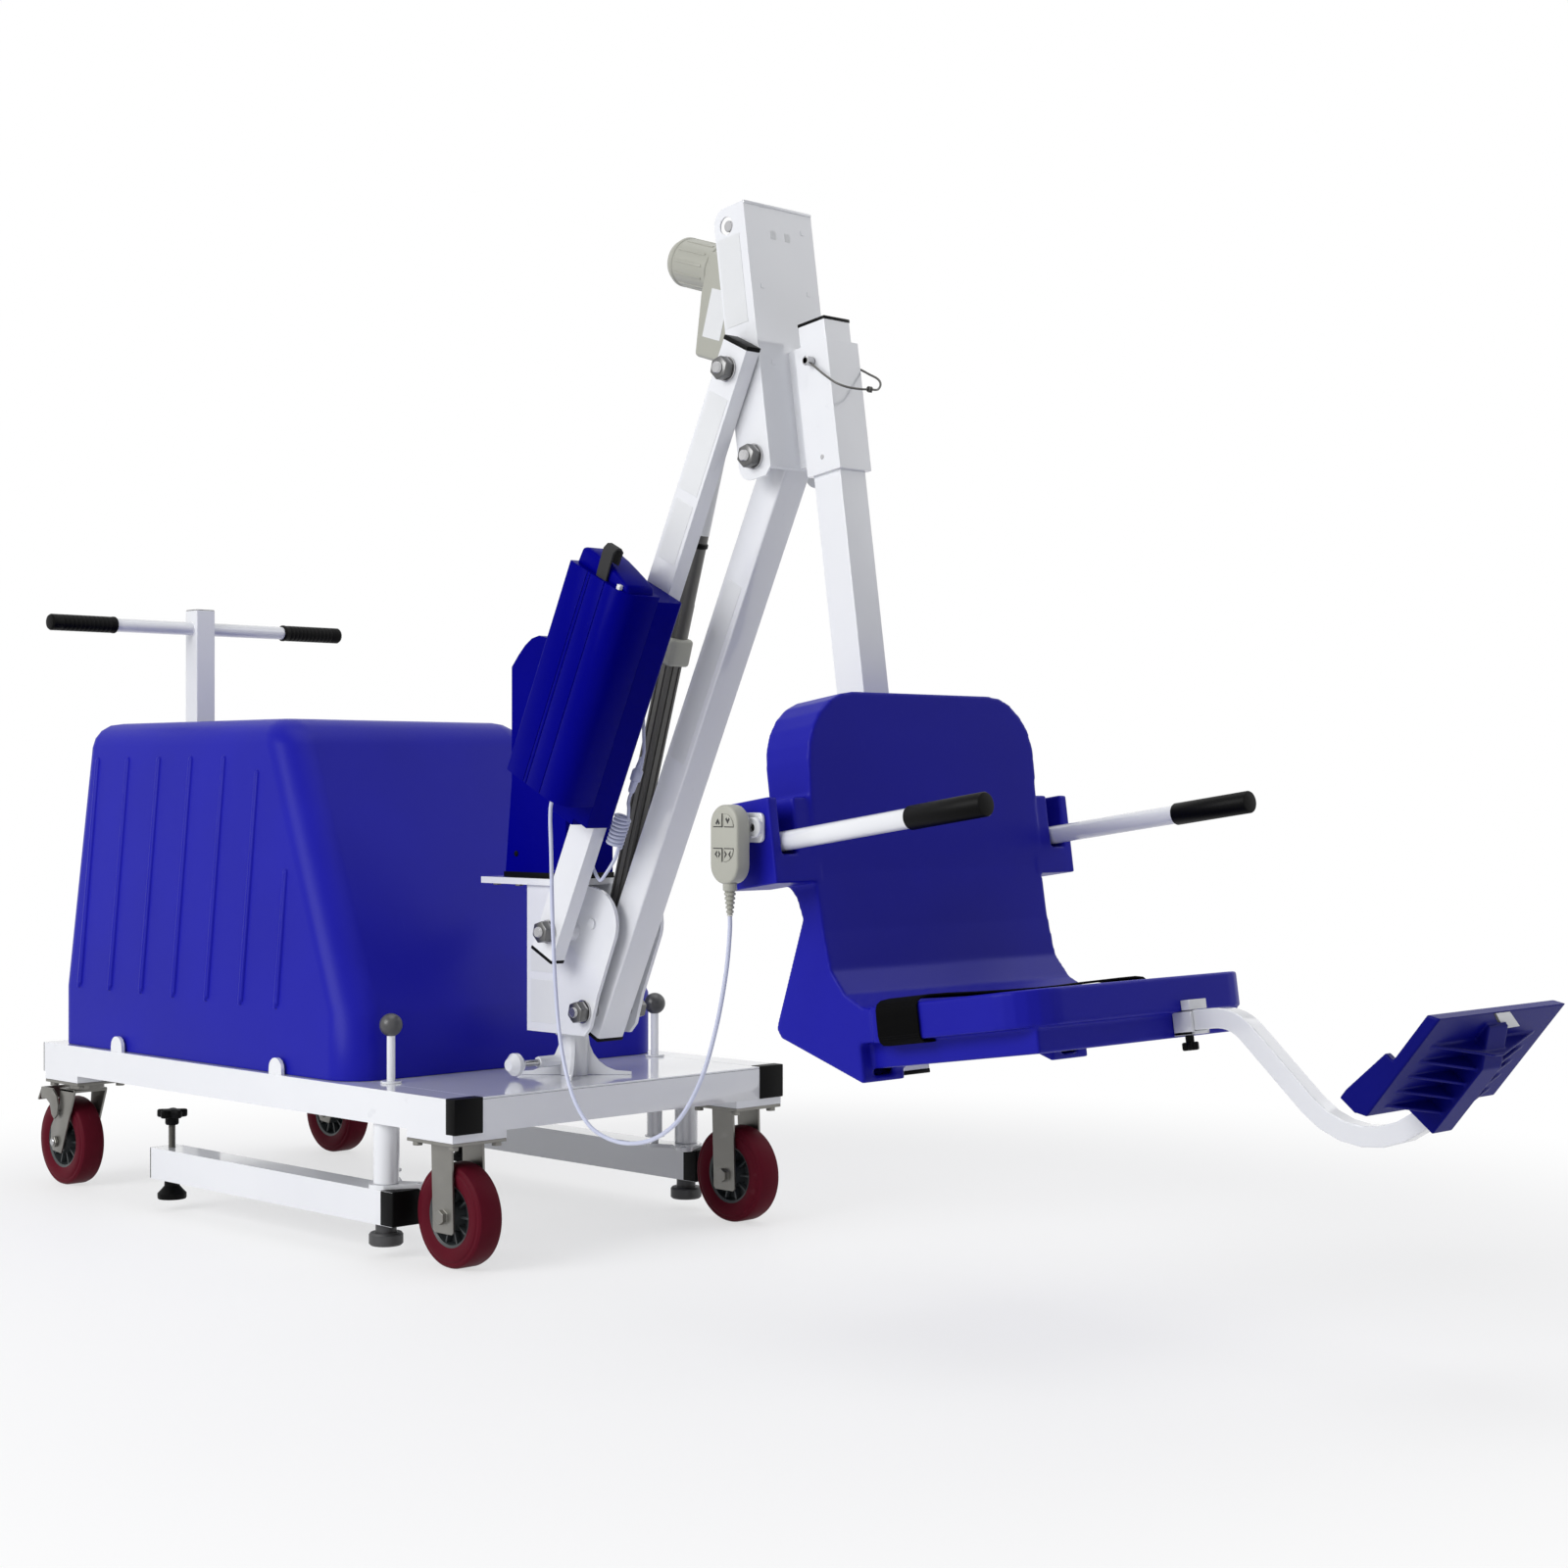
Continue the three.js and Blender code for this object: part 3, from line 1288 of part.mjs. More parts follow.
function makeActuatorBody() {
  const tubeEnd = actuatorLength - gearCaseTop;
  const collarEnd = actuatorCollarFrom + actuatorCollarLength;
  const collar = rod('x', [0, 0], actuatorCollarRadius, actuatorCollarFrom, collarEnd);
  const tube = rod('x', [0, 0], actuatorTubeRadius, collarEnd - cutOver, tubeEnd + cutOver);
  const ring = rod('x', [0, 0], actuatorRingRadius, actuatorRingFrom, actuatorRingFrom + actuatorRingLength);
  const caseOutline = [
    [tubeEnd - gearCaseLength, -actuatorTubeRadius],
    [tubeEnd, -actuatorTubeRadius],
    [tubeEnd, gearCaseDepth],
    [tubeEnd - gearCaseLength, gearCaseDepth - gearCaseTaper],
  ];
  const gearCase = prism('y', caseOutline, ...span(gearCaseWidth));
  const drumX = actuatorLength - drumDrop - gearCaseTop / 2;
  const drum = turned('z', [drumX, 0], [
    [0, gearCaseDepth - drumRadius], [drumRadius, gearCaseDepth - drumRadius],
    [drumRadius, gearCaseDepth + drumLength - drumNose],
    [drumRadius * Math.SQRT1_2, gearCaseDepth + drumLength - drumNose / 4],
    [0, gearCaseDepth + drumLength],
  ]);
  const eye = rod('y', [actuatorLength, 0], actuatorEyeRadius, ...span(actuatorEyeWidth));
  const neck = rod('x', [0, 0], actuatorEyeRadius, tubeEnd - cutOver, actuatorLength);
  const pinHalf = headHalf - sheetWall - seatGap;
  const crossPin = rod('y', [actuatorLength, 0], actuatorPinRadius, -pinHalf, pinHalf);
  const boreEnd = actuatorCollarFrom + actuatorBoreDepth;
  const bore = rod('x', [0, 0], actuatorTubeBore, actuatorCollarFrom - cutOver, boreEnd);
  return cut(joined(collar, tube, ring, gearCase, drum, eye, neck, crossPin), bore);
}

// Head bracket in the head's frame
const postRear = socketRear + socketWall + seatGap;
const postFront = postRear + tubeSide;
const socketFrontFace = postFront + seatGap + socketWall;
const socketHalf = tubeSide / 2 + seatGap + socketWall;
const linkHeadInHead = toHead(linkHead);
const pinCentre = [(postRear + postFront) / 2, lockPinHeight];

function makeHeadBracket() {
  const outline = [
    [headFront, -headFoot + headCorner / 2], [headFront, headTop], [0, headTop],
    ...arc([-headRear + headCorner, headTop - headCorner], headCorner, 90, 180, hexSides),
    ...arc([-headRear + headCorner, -headFoot + headCorner], headCorner, 180, 270, hexSides),
    [headFront - headCorner / 2, -headFoot],
  ];
  const shell = prism('y', outline, -headHalf, headHalf);
  const innerHalf = headHalf - sheetWall;
  const hollow = block(
    [-headRear - cutOver, headFront - sheetWall], [-innerHalf, innerHalf],
    [-headFoot - cutOver, headTop + cutOver],
  );
  const gusset = block(
    [headFront - cutOver, socketRear + cutOver], span(gussetPlateWidth),
    [-gussetPlateFoot, gussetPlateTop - cutOver],
  );
  const socket = block([socketRear, socketFrontFace], span(2 * socketHalf), [-socketFoot, socketTop]);
  const postBore = block(
    [postRear - seatGap, postFront + seatGap], span(tubeSide + 2 * seatGap),
    [-socketFoot - cutOver, socketTop + cutOver],
  );
  const spacer = rod('y', linkHeadInHead, spacerRadius, -linkInner + seatGap, -innerHalf);
  const tools = [
    rod('y', [0, 0], pivotBoltRadius + seatGap, -headHalf - cutOver, headHalf + cutOver),
    rod('y', [-actuatorHeadBack, actuatorHeadRise], headHoleRadius, -headHalf - cutOver, headHalf + cutOver),
    rod('y', linkHeadInHead, pivotBoltRadius + seatGap, -linkOuter, -innerHalf + cutOver),
    rod('y', pinCentre, lockPinRadius + turnGap, -socketHalf - cutOver, socketHalf + cutOver, smallSides),
  ];
  return cut(joined(cut(shell, hollow), gusset, socket, spacer), postBore, ...tools);
}

function makeLockPin() {
  const shankEnd = socketHalf + lockPinHeadLength / 2;
  const headEnd = -socketHalf - lockPinHeadLength;
  const shank = rod('y', pinCentre, lockPinRadius, headEnd, shankEnd, smallSides);
  const head = rod('y', pinCentre, lockPinHeadRadius, headEnd, -socketHalf - seatGap, smallSides);
  const bailY = -socketHalf - lockPinHeadLength / 2;
  const farY = socketHalf + 2 * bailWireRadius + seatGap;
  const [u, w] = pinCentre;
  const frontU = u + bailReach;
  const wire = sweep([
    [u, bailY, w], [u + bailReach / 2, bailY, w - bailDrop / 2], [frontU, bailY, w - bailDrop],
    [frontU + bailDrop / 2, 0, w - bailDrop], [frontU, farY, w - bailDrop / 2],
    [u + bailReach / 3, farY, w - bailWireRadius],
  ], circle(bailWireRadius, hexSides), smallSides);
  return joined(shank, head, wire);
}

function makeSeatPost() {
  const post = block([postRear, postFront], span(tubeSide), [-postFoot, postTop]);
  const inner = tubeSide - 2 * tubeWall;
  const bore = block(
    [postRear + tubeWall, postFront - tubeWall], span(inner), [-postFoot + tubeWall, postTop - tubeWall],
  );
  return cut(post, bore, rod('y', pinCentre, lockPinRadius + turnGap, -tubeSide, tubeSide, smallSides));
}

// Seat shell in the head's frame
function scaledSide(shares) {
  return shares.map(([u, w]) => [seatRear + u * seatDepth, -seatTop - w * seatHeight]);
}

// The back's front view: square at the foot, round at the top corners.
function backFront(inset) {
  const half = backWidth / 2 - inset;
  const top = -seatTop - inset;
  const radius = backCorner - inset;
  return [
    [-half, -seatTop - seatHeight - cutOver], [half, -seatTop - seatHeight - cutOver],
    ...arc([half - radius, top - radius], radius, 0, 90, backCornerSteps),
    ...arc([-half + radius, top - radius], radius, 90, 180, backCornerSteps),
  ];
}

const seatFront = seatRear + seatDepth;
const panBottom = -panTop - panThickness;
const panHalf = panWidth / 2;
const armY = armSpan / 2;

function panOutline(inset) {
  const half = panHalf - inset;
  const radius = panCorner - inset;
  const front = seatFront - inset;
  return [
    [panRear + inset, -half],
    ...arc([front - radius, -half + radius], radius, -90, 0, backCornerSteps),
    ...arc([front - radius, half - radius], radius, 0, 90, backCornerSteps),
    [panRear + inset, half],
  ];
}

function makeSeatShell() {
  const backHalf = backWidth / 2;
  const reach = [seatRear - cutOver, seatFront];
  const back = prism('y', scaledSide(backSideShares), -backHalf, backHalf)
    .intersect(prism('x', backFront(0), ...reach));
  const pan = prism('z', panOutline(0), panBottom, -panTop);
  const belly = block(
    [bellyFrom, seatFront - bellySetback], span(bellyWidth), [panBottom - bellyDrop, panBottom + cutOver],
  );
  let shell = joined(back, pan, belly);
  for (const side of sides) {
    const socket = block(
      [armSocketRear, armSocketRear + armSocketLength],
      sideSpan(side, backHalf - 2 * seatWall, armSocketOuter),
      [-armSocketTop - armSocketHeight, -armSocketTop],
    );
    shell = shell.add(socket);
  }
  const hollow = joined(
    prism('y', scaledSide(backHollowShares), -backHalf + seatWall, backHalf - seatWall)
      .intersect(prism('x', backFront(seatWall), ...reach)),
    prism('z', panOutline(seatWall), panBottom + seatWall, -panTop - seatWall),
    block(
      [bellyFrom + seatWall, seatFront - bellySetback - seatWall], span(bellyWidth - 2 * seatWall),
      [panBottom - bellyDrop + seatWall, panBottom + 2 * seatWall],
    ),
  );
  const channelFront = postFront + seatGap;
  const channelHalf = tubeSide / 2 + postChannelGap;
  const guard = block(
    [seatRear - cutOver, channelFront + seatWall], span(2 * channelHalf + 2 * seatWall),
    [-seatTop - seatHeight - cutOver, -seatTop + cutOver],
  );
  const receiverHole = footrestTube + 2 * seatGap;
  const footrestGuard = block(
    [footrestStart - 2 * seatWall, seatFront], span(receiverHole + 2 * seatWall, footrestPlace),
    span(receiverHole + 2 * seatWall, -footrestHeight),
  );
  const betweenFeet = backHalf - footWidth;
  const footLow = -seatTop - seatHeight - cutOver;
  const footFace = seatRear + seatDepth * footFaceShare;
  const bellyLow = panBottom - bellyDrop;
  const betweenGuards = [
    [bellyFrom - cutOver + seatWall, footLow + cutOver + footRise + seatWall],
    [footFace + cutOver, bellyLow + seatWall],
  ].map(([front, top]) => block(
    [seatRear - cutOver, front], span(2 * (betweenFeet + seatWall)), [footLow, top],
  ));
  shell = shell.subtract(cut(hollow, guard, footrestGuard, ...betweenGuards));
  const tools = [
    block(
      [seatRear - cutOver, channelFront], [-channelHalf, channelHalf],
      [-seatTop - seatHeight - cutOver, -seatTop + cutOver],
    ),
    block(
      [seatRear - cutOver, bellyFrom - cutOver], [-betweenFeet, betweenFeet],
      [footLow, footLow + cutOver + footRise],
    ),
    block([bellyFrom - 2 * cutOver, footFace + cutOver], [-betweenFeet, betweenFeet], [footLow, bellyLow]),
    block(
      [footrestStart - seatWall, seatFront + cutOver], span(receiverHole, footrestPlace),
      span(receiverHole, -footrestHeight),
    ),
  ];
  for (const side of sides) {
    const footMiddle = backHalf - footWidth / 2;
    tools.push(block(
      [footFace - 4 * seatWall, footFace + cutOver],
      sideSpan(side, footMiddle - footHoleWidth / 2, footMiddle + footHoleWidth / 2),
      span(footHoleHeight, -seatTop - seatHeight + footRise / 2 + seatWall),
    ));
    const slotY = sideSpan(side, armY - armSlotWidth / 2, armY + armSlotWidth / 2);
    tools.push(block(
      [armHingeReach - armSlotFloor, armSocketRear + armSocketLength + cutOver], slotY,
      [-armHeight - armSlotFloor, -armSocketTop + cutOver],
    ));
    const pinHalf = armPinSpread + seatGap;
    tools.push(rod(
      'y', [armHingeReach, -armHeight], armPinRadius + turnGap,
      ...sideSpan(side, armY - pinHalf, armY + pinHalf), smallSides,
    ));
  }
  return cut(shell, ...tools);
}

function makeArmrest(side) {
  const y = side * armY;
  const tip = armTipReach - tubeWall;
  const tube = rod('x', [y, -armHeight], armTubeRadius, armHingeReach, tip);
  const eye = new THREE.SphereGeometry(armTubeRadius, roundSides, smallSides);
  eye.translate(armHingeReach, y, -armHeight);
  const grip = rod('x', [y, -armHeight], armGripRadius, armTipReach - armGripLength, armTipReach);
  const pinSpan = span(2 * armPinSpread, y);
  const pin = rod('y', [armHingeReach, -armHeight], armPinRadius, ...pinSpan, smallSides);
  return joined(tube, toSolid(eye), grip, pin);
}

function makeSeatBelt() {
  const inner = panHalf + seatGap;
  const outer = inner + beltThickness;
  const top = -panTop + seatGap;
  const low = panBottom - seatGap;
  const u = [beltFrom, beltFrom + beltWidth];
  const wrap = block(u, [-outer, outer], [low - beltThickness, top + beltThickness]);
  const room = block([u[0] - cutOver, u[1] + cutOver], [-inner, inner], [low, top]);
  const open = block(
    [u[0] - cutOver, u[1] + cutOver], span(2 * (outer - beltReturn)),
    [low - 2 * beltThickness, low + cutOver],
  );
  return cut(wrap, room, open);
}

// Footrest: a bent square tube sliding in a receiver, and a foot plate on its end
function footrestPath() {
  const bend = THREE.MathUtils.degToRad(footrestBendAngle);
  const first = [footrestBendFrom, -footrestHeight - footrestBendRadius];
  const down = arc(first, footrestBendRadius, 90, 90 - footrestBendAngle, footrestBendSteps);
  const last = down[down.length - 1];
  const low = [last[0] + footrestRun * Math.cos(bend), last[1] - footrestRun * Math.sin(bend)];
  const radius = footrestLowRadius;
  const second = [low[0] + radius * Math.sin(bend), low[1] + radius * Math.cos(bend)];
  const up = arc(second, radius, -90 - footrestBendAngle, -90 + footrestRise, footrestBendSteps);
  const rise = THREE.MathUtils.degToRad(footrestRise);
  const end = up[up.length - 1];
  const tip = [end[0] + footrestEndRun * Math.cos(rise), end[1] + footrestEndRun * Math.sin(rise)];
  return [[footrestStart, -footrestHeight], ...down, ...up, tip];
}

// Skins a flat bent path with a rectangle of the given thickness and width.
function bentBar(path, thickness, width, y) {
  const rings = path.map((point, k) => {
    const before = path[Math.max(0, k - 1)];
    const after = path[Math.min(path.length - 1, k + 1)];
    const run = new THREE.Vector2(after[0] - before[0], after[1] - before[1]).normalize();
    const [du, dw] = [(-run.y * thickness) / 2, (run.x * thickness) / 2];
    return [
      [point[0] - du, y - width / 2, point[1] - dw],
      [point[0] - du, y + width / 2, point[1] - dw],
      [point[0] + du, y + width / 2, point[1] + dw],
      [point[0] + du, y - width / 2, point[1] + dw],
    ];
  });
  return loft(rings);
}

// The foot plate's heel, from where the tube's tip lies in the plate.
function footplateHeel() {
  const path = footrestPath();
  const tip = path[path.length - 1];
  const rise = THREE.MathUtils.degToRad(footrestRise);
  return [
    tip[0] - footplateTubeReach * Math.cos(rise) - footplateTubeDepth * Math.sin(rise),
    tip[1] - footplateTubeReach * Math.sin(rise) + footplateTubeDepth * Math.cos(rise),
  ];
}

function makeFootrestTube() {
  return bentBar(footrestPath(), footrestTube, footrestTube, footrestPlace);
}

function makeReceiver() {
  const hole = footrestTube + 2 * seatGap;
  const outer = hole + 2 * receiverWall;
  const underRim = block(
    [receiverFrom, seatFront + seatGap + receiverWall], span(receiverWidth, footrestPlace),
    [-footrestHeight - outer / 2, panBottom - seatGap],
  );
  const front = block(
    [seatFront + seatGap, receiverFrom + receiverLength], span(receiverWidth, footrestPlace),
    [-footrestHeight - outer / 2, -footrestHeight + outer / 2 + receiverRim],
  );
  const knobU = receiverFrom + receiverLength / 3;
  const low = -footrestHeight - outer / 2;
  const stemSpan = [low - receiverKnobStem, low + receiverWall / 2];
  const stem = rod('z', [knobU, footrestPlace], receiverKnobRadius / 2, ...stemSpan);
  const knob = rod(
    'z', [knobU, footrestPlace], receiverKnobRadius,
    low - receiverKnobStem - receiverKnobHeight, low - receiverKnobStem + seatGap, hexSides,
  );
  const bore = block(
    [receiverFrom - cutOver, receiverFrom + receiverLength + cutOver],
    span(hole, footrestPlace), span(hole, -footrestHeight),
  );
  return cut(joined(underRim, front, stem, knob), bore);
}

function makeFootplate() {
  const half = footplateWidth / 2;
  const y = footrestPlace;
  const plateOutline = [
    [0, 0], [footplateLength, 0], [footplateLength + footplateThickness / 2, -footplateThickness],
    [footplateThickness / 2, -footplateThickness],
  ];
  const board = prism('y', plateOutline, y - half, y + half);
  const kerbOutline = [
    [0, -cutOver], [kerbLength, -cutOver], [kerbLength, kerbHeight / 2], [kerbThickness, kerbHeight],
    [0, kerbHeight],
  ];
  const kerb = prism('y', kerbOutline, y - half, y - half + kerbThickness);
  const farKerb = prism('y', kerbOutline, y + half - kerbThickness, y + half);
  const heel = block([0, kerbThickness], [y - half, y + half], [-cutOver, kerbHeight]);
  const spineOutline = [
    [-plateSpineLead, -plateSpineDepth], [-plateSpineLead, -cutOver], [plateSpineLength, -cutOver],
    [plateSpineLength, -plateSpineTip], [plateSpineLength - plateSpineDepth, -plateSpineDepth],
  ];
  const spine = prism('y', spineOutline, ...span(plateSpineWidth, y));
  let plate = joined(board, kerb, farKerb, heel, spine);
  const ribFoot = -footplateThickness + cutOver;
  for (let k = 0; k < plateRibCount; k += 1) {
    const ribX = span(plateRibThickness, plateRibPitch * (k + 1 / 2) + plateRibEdge / 2);
    const rib = [
      [y - half + plateRibEdge, ribFoot], [y - plateSpineWidth / 4, -plateSpineDepth + cutOver],
      [y + plateSpineWidth / 4, -plateSpineDepth + cutOver], [y + half - plateRibEdge, ribFoot],
    ];
    plate = plate.add(prism('x', rib, ...ribX));
  }
  return plate;
}

// The tube's room in the foot plate, in the plate's own frame.
function footplatePocket() {
  const rise = THREE.MathUtils.degToRad(footrestRise);
  const path = footrestPath();
  const heel = footplateHeel();
  const tail = path.slice(path.length - 3);
  const tip = tail[2];
  const longer = [tip[0] + seatGap * Math.cos(rise), tip[1] + seatGap * Math.sin(rise)];
  const local = [...tail.slice(0, 2), longer].map(([u, w]) => {
    const [du, dw] = [u - heel[0], w - heel[1]];
    return [du * Math.cos(rise) + dw * Math.sin(rise), dw * Math.cos(rise) - du * Math.sin(rise)];
  });
  return bentBar(local, footrestTube + 2 * seatGap, footrestTube + 2 * seatGap, footrestPlace);
}

// Boxes on the link, in the link's frame: x along the link, z up from it
const controlInner = linkOuter + seatGap;
const controlOuter = controlInner + controlThickness;
const batteryInner = controlOuter + seatGap;
const batteryOuter = batteryInner + batteryThickness;

function makeControlBox() {
  const x = [controlFrom, controlFrom + controlLength];
  const side = [-controlOuter, -controlInner];
  const body = prism('x', roundedBox(side, span(controlWidth), boxEdge, coverEdgeSteps, boxSeam), ...x);
  const lip = block([controlFrom - boxEdge, controlFrom + boxEdge], side, span(controlWidth / 2));
  return joined(body, lip);
}

// The battery case, with one edge much rounder than the others, its lid and its lifting strap.
function makeBattery() {
  const x = [batteryFrom, batteryFrom + batteryLength];
  const half = batteryWidth / 2;
  const outline = [
    [-batteryInner, -half],
    [-batteryInner, half],
    ...arc([-batteryOuter + batteryCorner, half - batteryCorner], batteryCorner, 90, 180, 2),
    ...arc([-batteryOuter + batteryEdge, -half + batteryEdge], batteryEdge, 180, 270, hexSides),
  ];
  const body = prism('x', outline, ...x);
  const lidFoot = x[1] - seatGap;
  const lidOutline = lidOutlineShares.map(([rise, across]) => [lidFoot + lidRise * rise, half * across]);
  const lid = prism('y', lidOutline, -batteryOuter + lidInset, -batteryInner - lidEdge);
  const strapZ = span(strapWidth, strapPlace);
  const face = -batteryOuter + batteryCorner;
  const strap = block([x[1] - cutOver, x[1] + strapRise], [face, face + strapDepth], strapZ);
  const room = block(
    [x[1], x[1] + strapRise - strapThickness],
    [face + strapThickness, face + strapDepth - strapThickness],
    [strapZ[0] - cutOver, strapZ[1] + cutOver],
  );
  return joined(body, lid, strap.subtract(room));
}

// Handset, holder and push buttons
const handsetPlaceX = armHead[0] + handsetAhead;
const handsetBottom = armHead[1] - handsetBelow;
const handsetInner = armSocketOuter + holderThickness + 2 * seatGap;
const handsetOuter = handsetInner + handsetThickness;
const handsetX = span(handsetWidth, handsetPlaceX);
const handsetZ = [handsetBottom, handsetBottom + handsetHeight];

function makeHandset() {
  const outline = roundedBox(handsetX, handsetZ, handsetRound, hexSides);
  const body = prism('y', outline, -handsetOuter, -handsetInner);
  const middle = -(handsetOuter + handsetInner) / 2;
  const relief = rod(
    'z', [handsetPlaceX, middle], reliefTipRadius, handsetBottom - reliefLength, handsetBottom + cutOver,
    smallSides, reliefRadius,
  );
  let handset = joined(body, relief);
  for (const place of buttonPlaces()) {
    const room = roundedBox(
      span(buttonSide + 2 * seatGap, place[0]), span(buttonSide + 2 * seatGap, place[1]), buttonCorner,
    );
    const floor = -handsetOuter + buttonDepth + seatGap;
    handset = handset.subtract(prism('y', room, -handsetOuter - cutOver, floor));
  }
  return handset;
}

function buttonPlaces() {
  const places = [];
  for (const row of [0, 1]) {
    for (const column of [-1, 1]) {
      places.push([
        handsetPlaceX + (column * buttonPitchX) / 2,
        handsetBottom + buttonRow - row * buttonPitchZ,
      ]);
    }
  }
  return places;
}

function makeButton([x, z]) {
  const outline = roundedBox(span(buttonSide, x), span(buttonSide, z), buttonCorner);
  return prism('y', outline, -handsetOuter - buttonProud, -handsetOuter + buttonDepth - buttonProud);
}

function makeHolder() {
  const z = handsetBottom + holderRise;
  const outline = roundedBox(span(holderWidth, handsetPlaceX), span(holderHeight, z), buttonCorner);
  return prism('y', outline, -handsetInner + seatGap, -armSocketOuter - seatGap);
}

// Points of the handset's lead, from the box to the handset, hung in one upright plane
const cordPoints = [
  [63, -200, 677.4], [59.6, -200, 670.2], [57.8, -200, 660], [57.4, -200, 640], [60, -200.5, 600],
  [66, -202, 480], [84, -206.5, 350], [120, -215.7, 268], [170, -228.3, 226], [230, -243.5, 211],
  [300, -261.2, 212], [370, -278.9, 228], [436, -295.6, 262], [492, -309.8, 320], [530, -319.4, 390],
  [554, -325.5, 460], [563, -327.8, 510], [564, -328.3, 531.5],
];

function makeHandsetCord() {
  return sweep(cordPoints, circle(cordRadius, cordSides), cordSteps);
}

// Actuator lead, in the link's frame: collar, plug, curls, then a hook into the link
const cableY = -(linkInner - plugRadius - 4 * seatGap);
const cableLinkZ = -tubeSide / 2 - 4 * cableRadius;
const curlAxisZ = cableLinkZ - curlRadius / 2;
const curlPoints = [];

function makeActuatorCable() {
  const length = curlTurns * curlPitch;
  const points = [
    [cableHookX, -linkInner + seatGap, -tubeSide / 4],
    [cableHookX, -linkInner + seatGap + 2 * cableRadius, -tubeSide / 4],
    [cableHookX - plugRadius, cableY, -tubeSide / 3],
    [cableHookX - 2 * plugRadius, cableY, cableLinkZ], [cableHookX, cableY, cableLinkZ - plugRadius],
    [curlFromX - 2 * plugRadius, cableY, curlAxisZ - curlRadius],
  ];
  const steps = curlTurns * curlStepsPerTurn;
  for (let k = 0; k <= steps; k += 1) {
    const angle = -Math.PI / 2 + (2 * Math.PI * k) / curlStepsPerTurn;
    curlPoints.push([
      curlFromX + (length * k) / steps,
      cableY + curlRadius * Math.cos(angle),
      curlAxisZ + curlRadius * Math.sin(angle),
    ]);
  }
  const plugFrom = curlFromX + length + 2 * plugLength / 3;
  const after = [
    [curlFromX + length + 2 * plugRadius, cableY, curlAxisZ - curlRadius / 2],
    [plugFrom - plugRadius, cableY, curlAxisZ],
    [plugFrom + plugLength + plugRadius, cableY, curlAxisZ],
  ];
  const collarPlace = toLink(pointOnActuator(actuatorCollarFrom + actuatorCollarLength / 2));
  const bend = [collarPlace[0] - 2 * plugRadius, cableY, collarPlace[1]];
  const touch = [collarPlace[0], -actuatorCollarRadius - seatGap, collarPlace[1]];
  const turn = [collarPlace[0], cableY + plugRadius, collarPlace[1]];
  const path = [...points, ...curlPoints, ...after, bend, turn, touch];
  const tube = sweep(path, circle(cableRadius, cableSides), steps + cableLeadSteps);
  const plug = turned('x', [cableY, curlAxisZ], [
    [0, plugFrom], [2 * cableRadius, plugFrom],
    ...plugShares.map(([along, reach]) => [plugRadius * reach, plugFrom + plugLength * along]),
    [2 * cableRadius, plugFrom + plugLength], [0, plugFrom + plugLength],
  ], smallSides);
  return joined(tube, plug);
}

function pointOnActuator(along) {
  const angle = THREE.MathUtils.degToRad(actuatorAngle);
  return [actuatorFoot[0] + along * Math.cos(angle), actuatorFoot[1] + along * Math.sin(angle)];
}

function toLink([x, z]) {
  const [dx, dz] = [x - linkFoot[0], z - linkFoot[1]];
  return [dx * liftCos + dz * liftSin, dz * liftCos - dx * liftSin];
}

// Base
addPiece(lift, 'base_frame', makeBaseFrame(), 'white');
addPiece(lift, 'deck_plate', makeDeckPlate(), 'white');
addPiece(lift, 'pedestal', makePedestal(), 'white');
addPiece(lift, 'slew_lock_knob', makeSlewKnob(), 'white');
addPiece(lift, 'weight_cover', makeWeightCover(), 'blue');
addPiece(lift, 'counterweight', makeCounterweight(), 'iron');
addPiece(lift, 'push_handle', makePushHandle(), 'white');
for (const side of sides) {
  const name = sideNames[side];
  addPiece(lift, `front_cap_${name}`, makeFrontCap(side), 'black');
  addPiece(lift, `handle_grip_${name}`, makeHandleGrip(side), 'black');
  addPiece(lift, `outrigger_arm_${name}`, makeOutriggerArm(side), 'white');
  addPiece(lift, `outrigger_post_${name}`, makeOutriggerPost(side), 'white');
  addPiece(lift, `levelling_screw_${name}`, makeLevellingScrew(side), 'black');
  addPiece(lift, `lock_rod_${name}`, makeLockRod(side), 'steel');
  addPiece(lift, `front_fork_${name}`, makeFrontFork(side), 'zinc');
  addPiece(lift, `rear_fork_${name}`, makeRearFork(side), 'zinc');
  addPiece(lift, `swivel_plate_${name}`, makeSwivelPlate(side), 'zinc');
  addPiece(lift, `brake_pedal_${name}`, makeBrakePedal(side), 'zinc');
  addWheel(`front_wheel_${name}`, -frontAxlePlace, side * casterY);
  addWheel(`rear_wheel_${name}`, rearAxleX, side * casterY);
}

// Mast and what it carries
addPiece(lift, 'mast_body', makeMastBody(), 'white');
addPiece(lift, 'motor_cover', makeMotorCover(), 'navy');
addPiece(lift, 'gear_motor', makeGearMotor(), 'iron');

const armGroup = tiltedGroup(armFoot, liftAngle);
addPiece(armGroup, 'lower_arm', makeLowerArm(), 'white');

const linkGroup = tiltedGroup(linkFoot, liftAngle);
addPiece(linkGroup, 'upper_link', makeUpperLink(), 'white');
addPiece(linkGroup, 'control_box', makeControlBox(), 'navy');
addPiece(linkGroup, 'battery_pack', makeBattery(), 'navy');
addPiece(linkGroup, 'actuator_cable', makeActuatorCable(), 'cord');
addPiece(linkGroup, 'link_bolt_lower', makeLinkBolt(-mastHalf + mastPlate), 'steel');
const upperBolt = addPiece(linkGroup, 'link_bolt_upper', makeLinkBolt(-headHalf + sheetWall), 'steel');
upperBolt.position.x = linkLength;

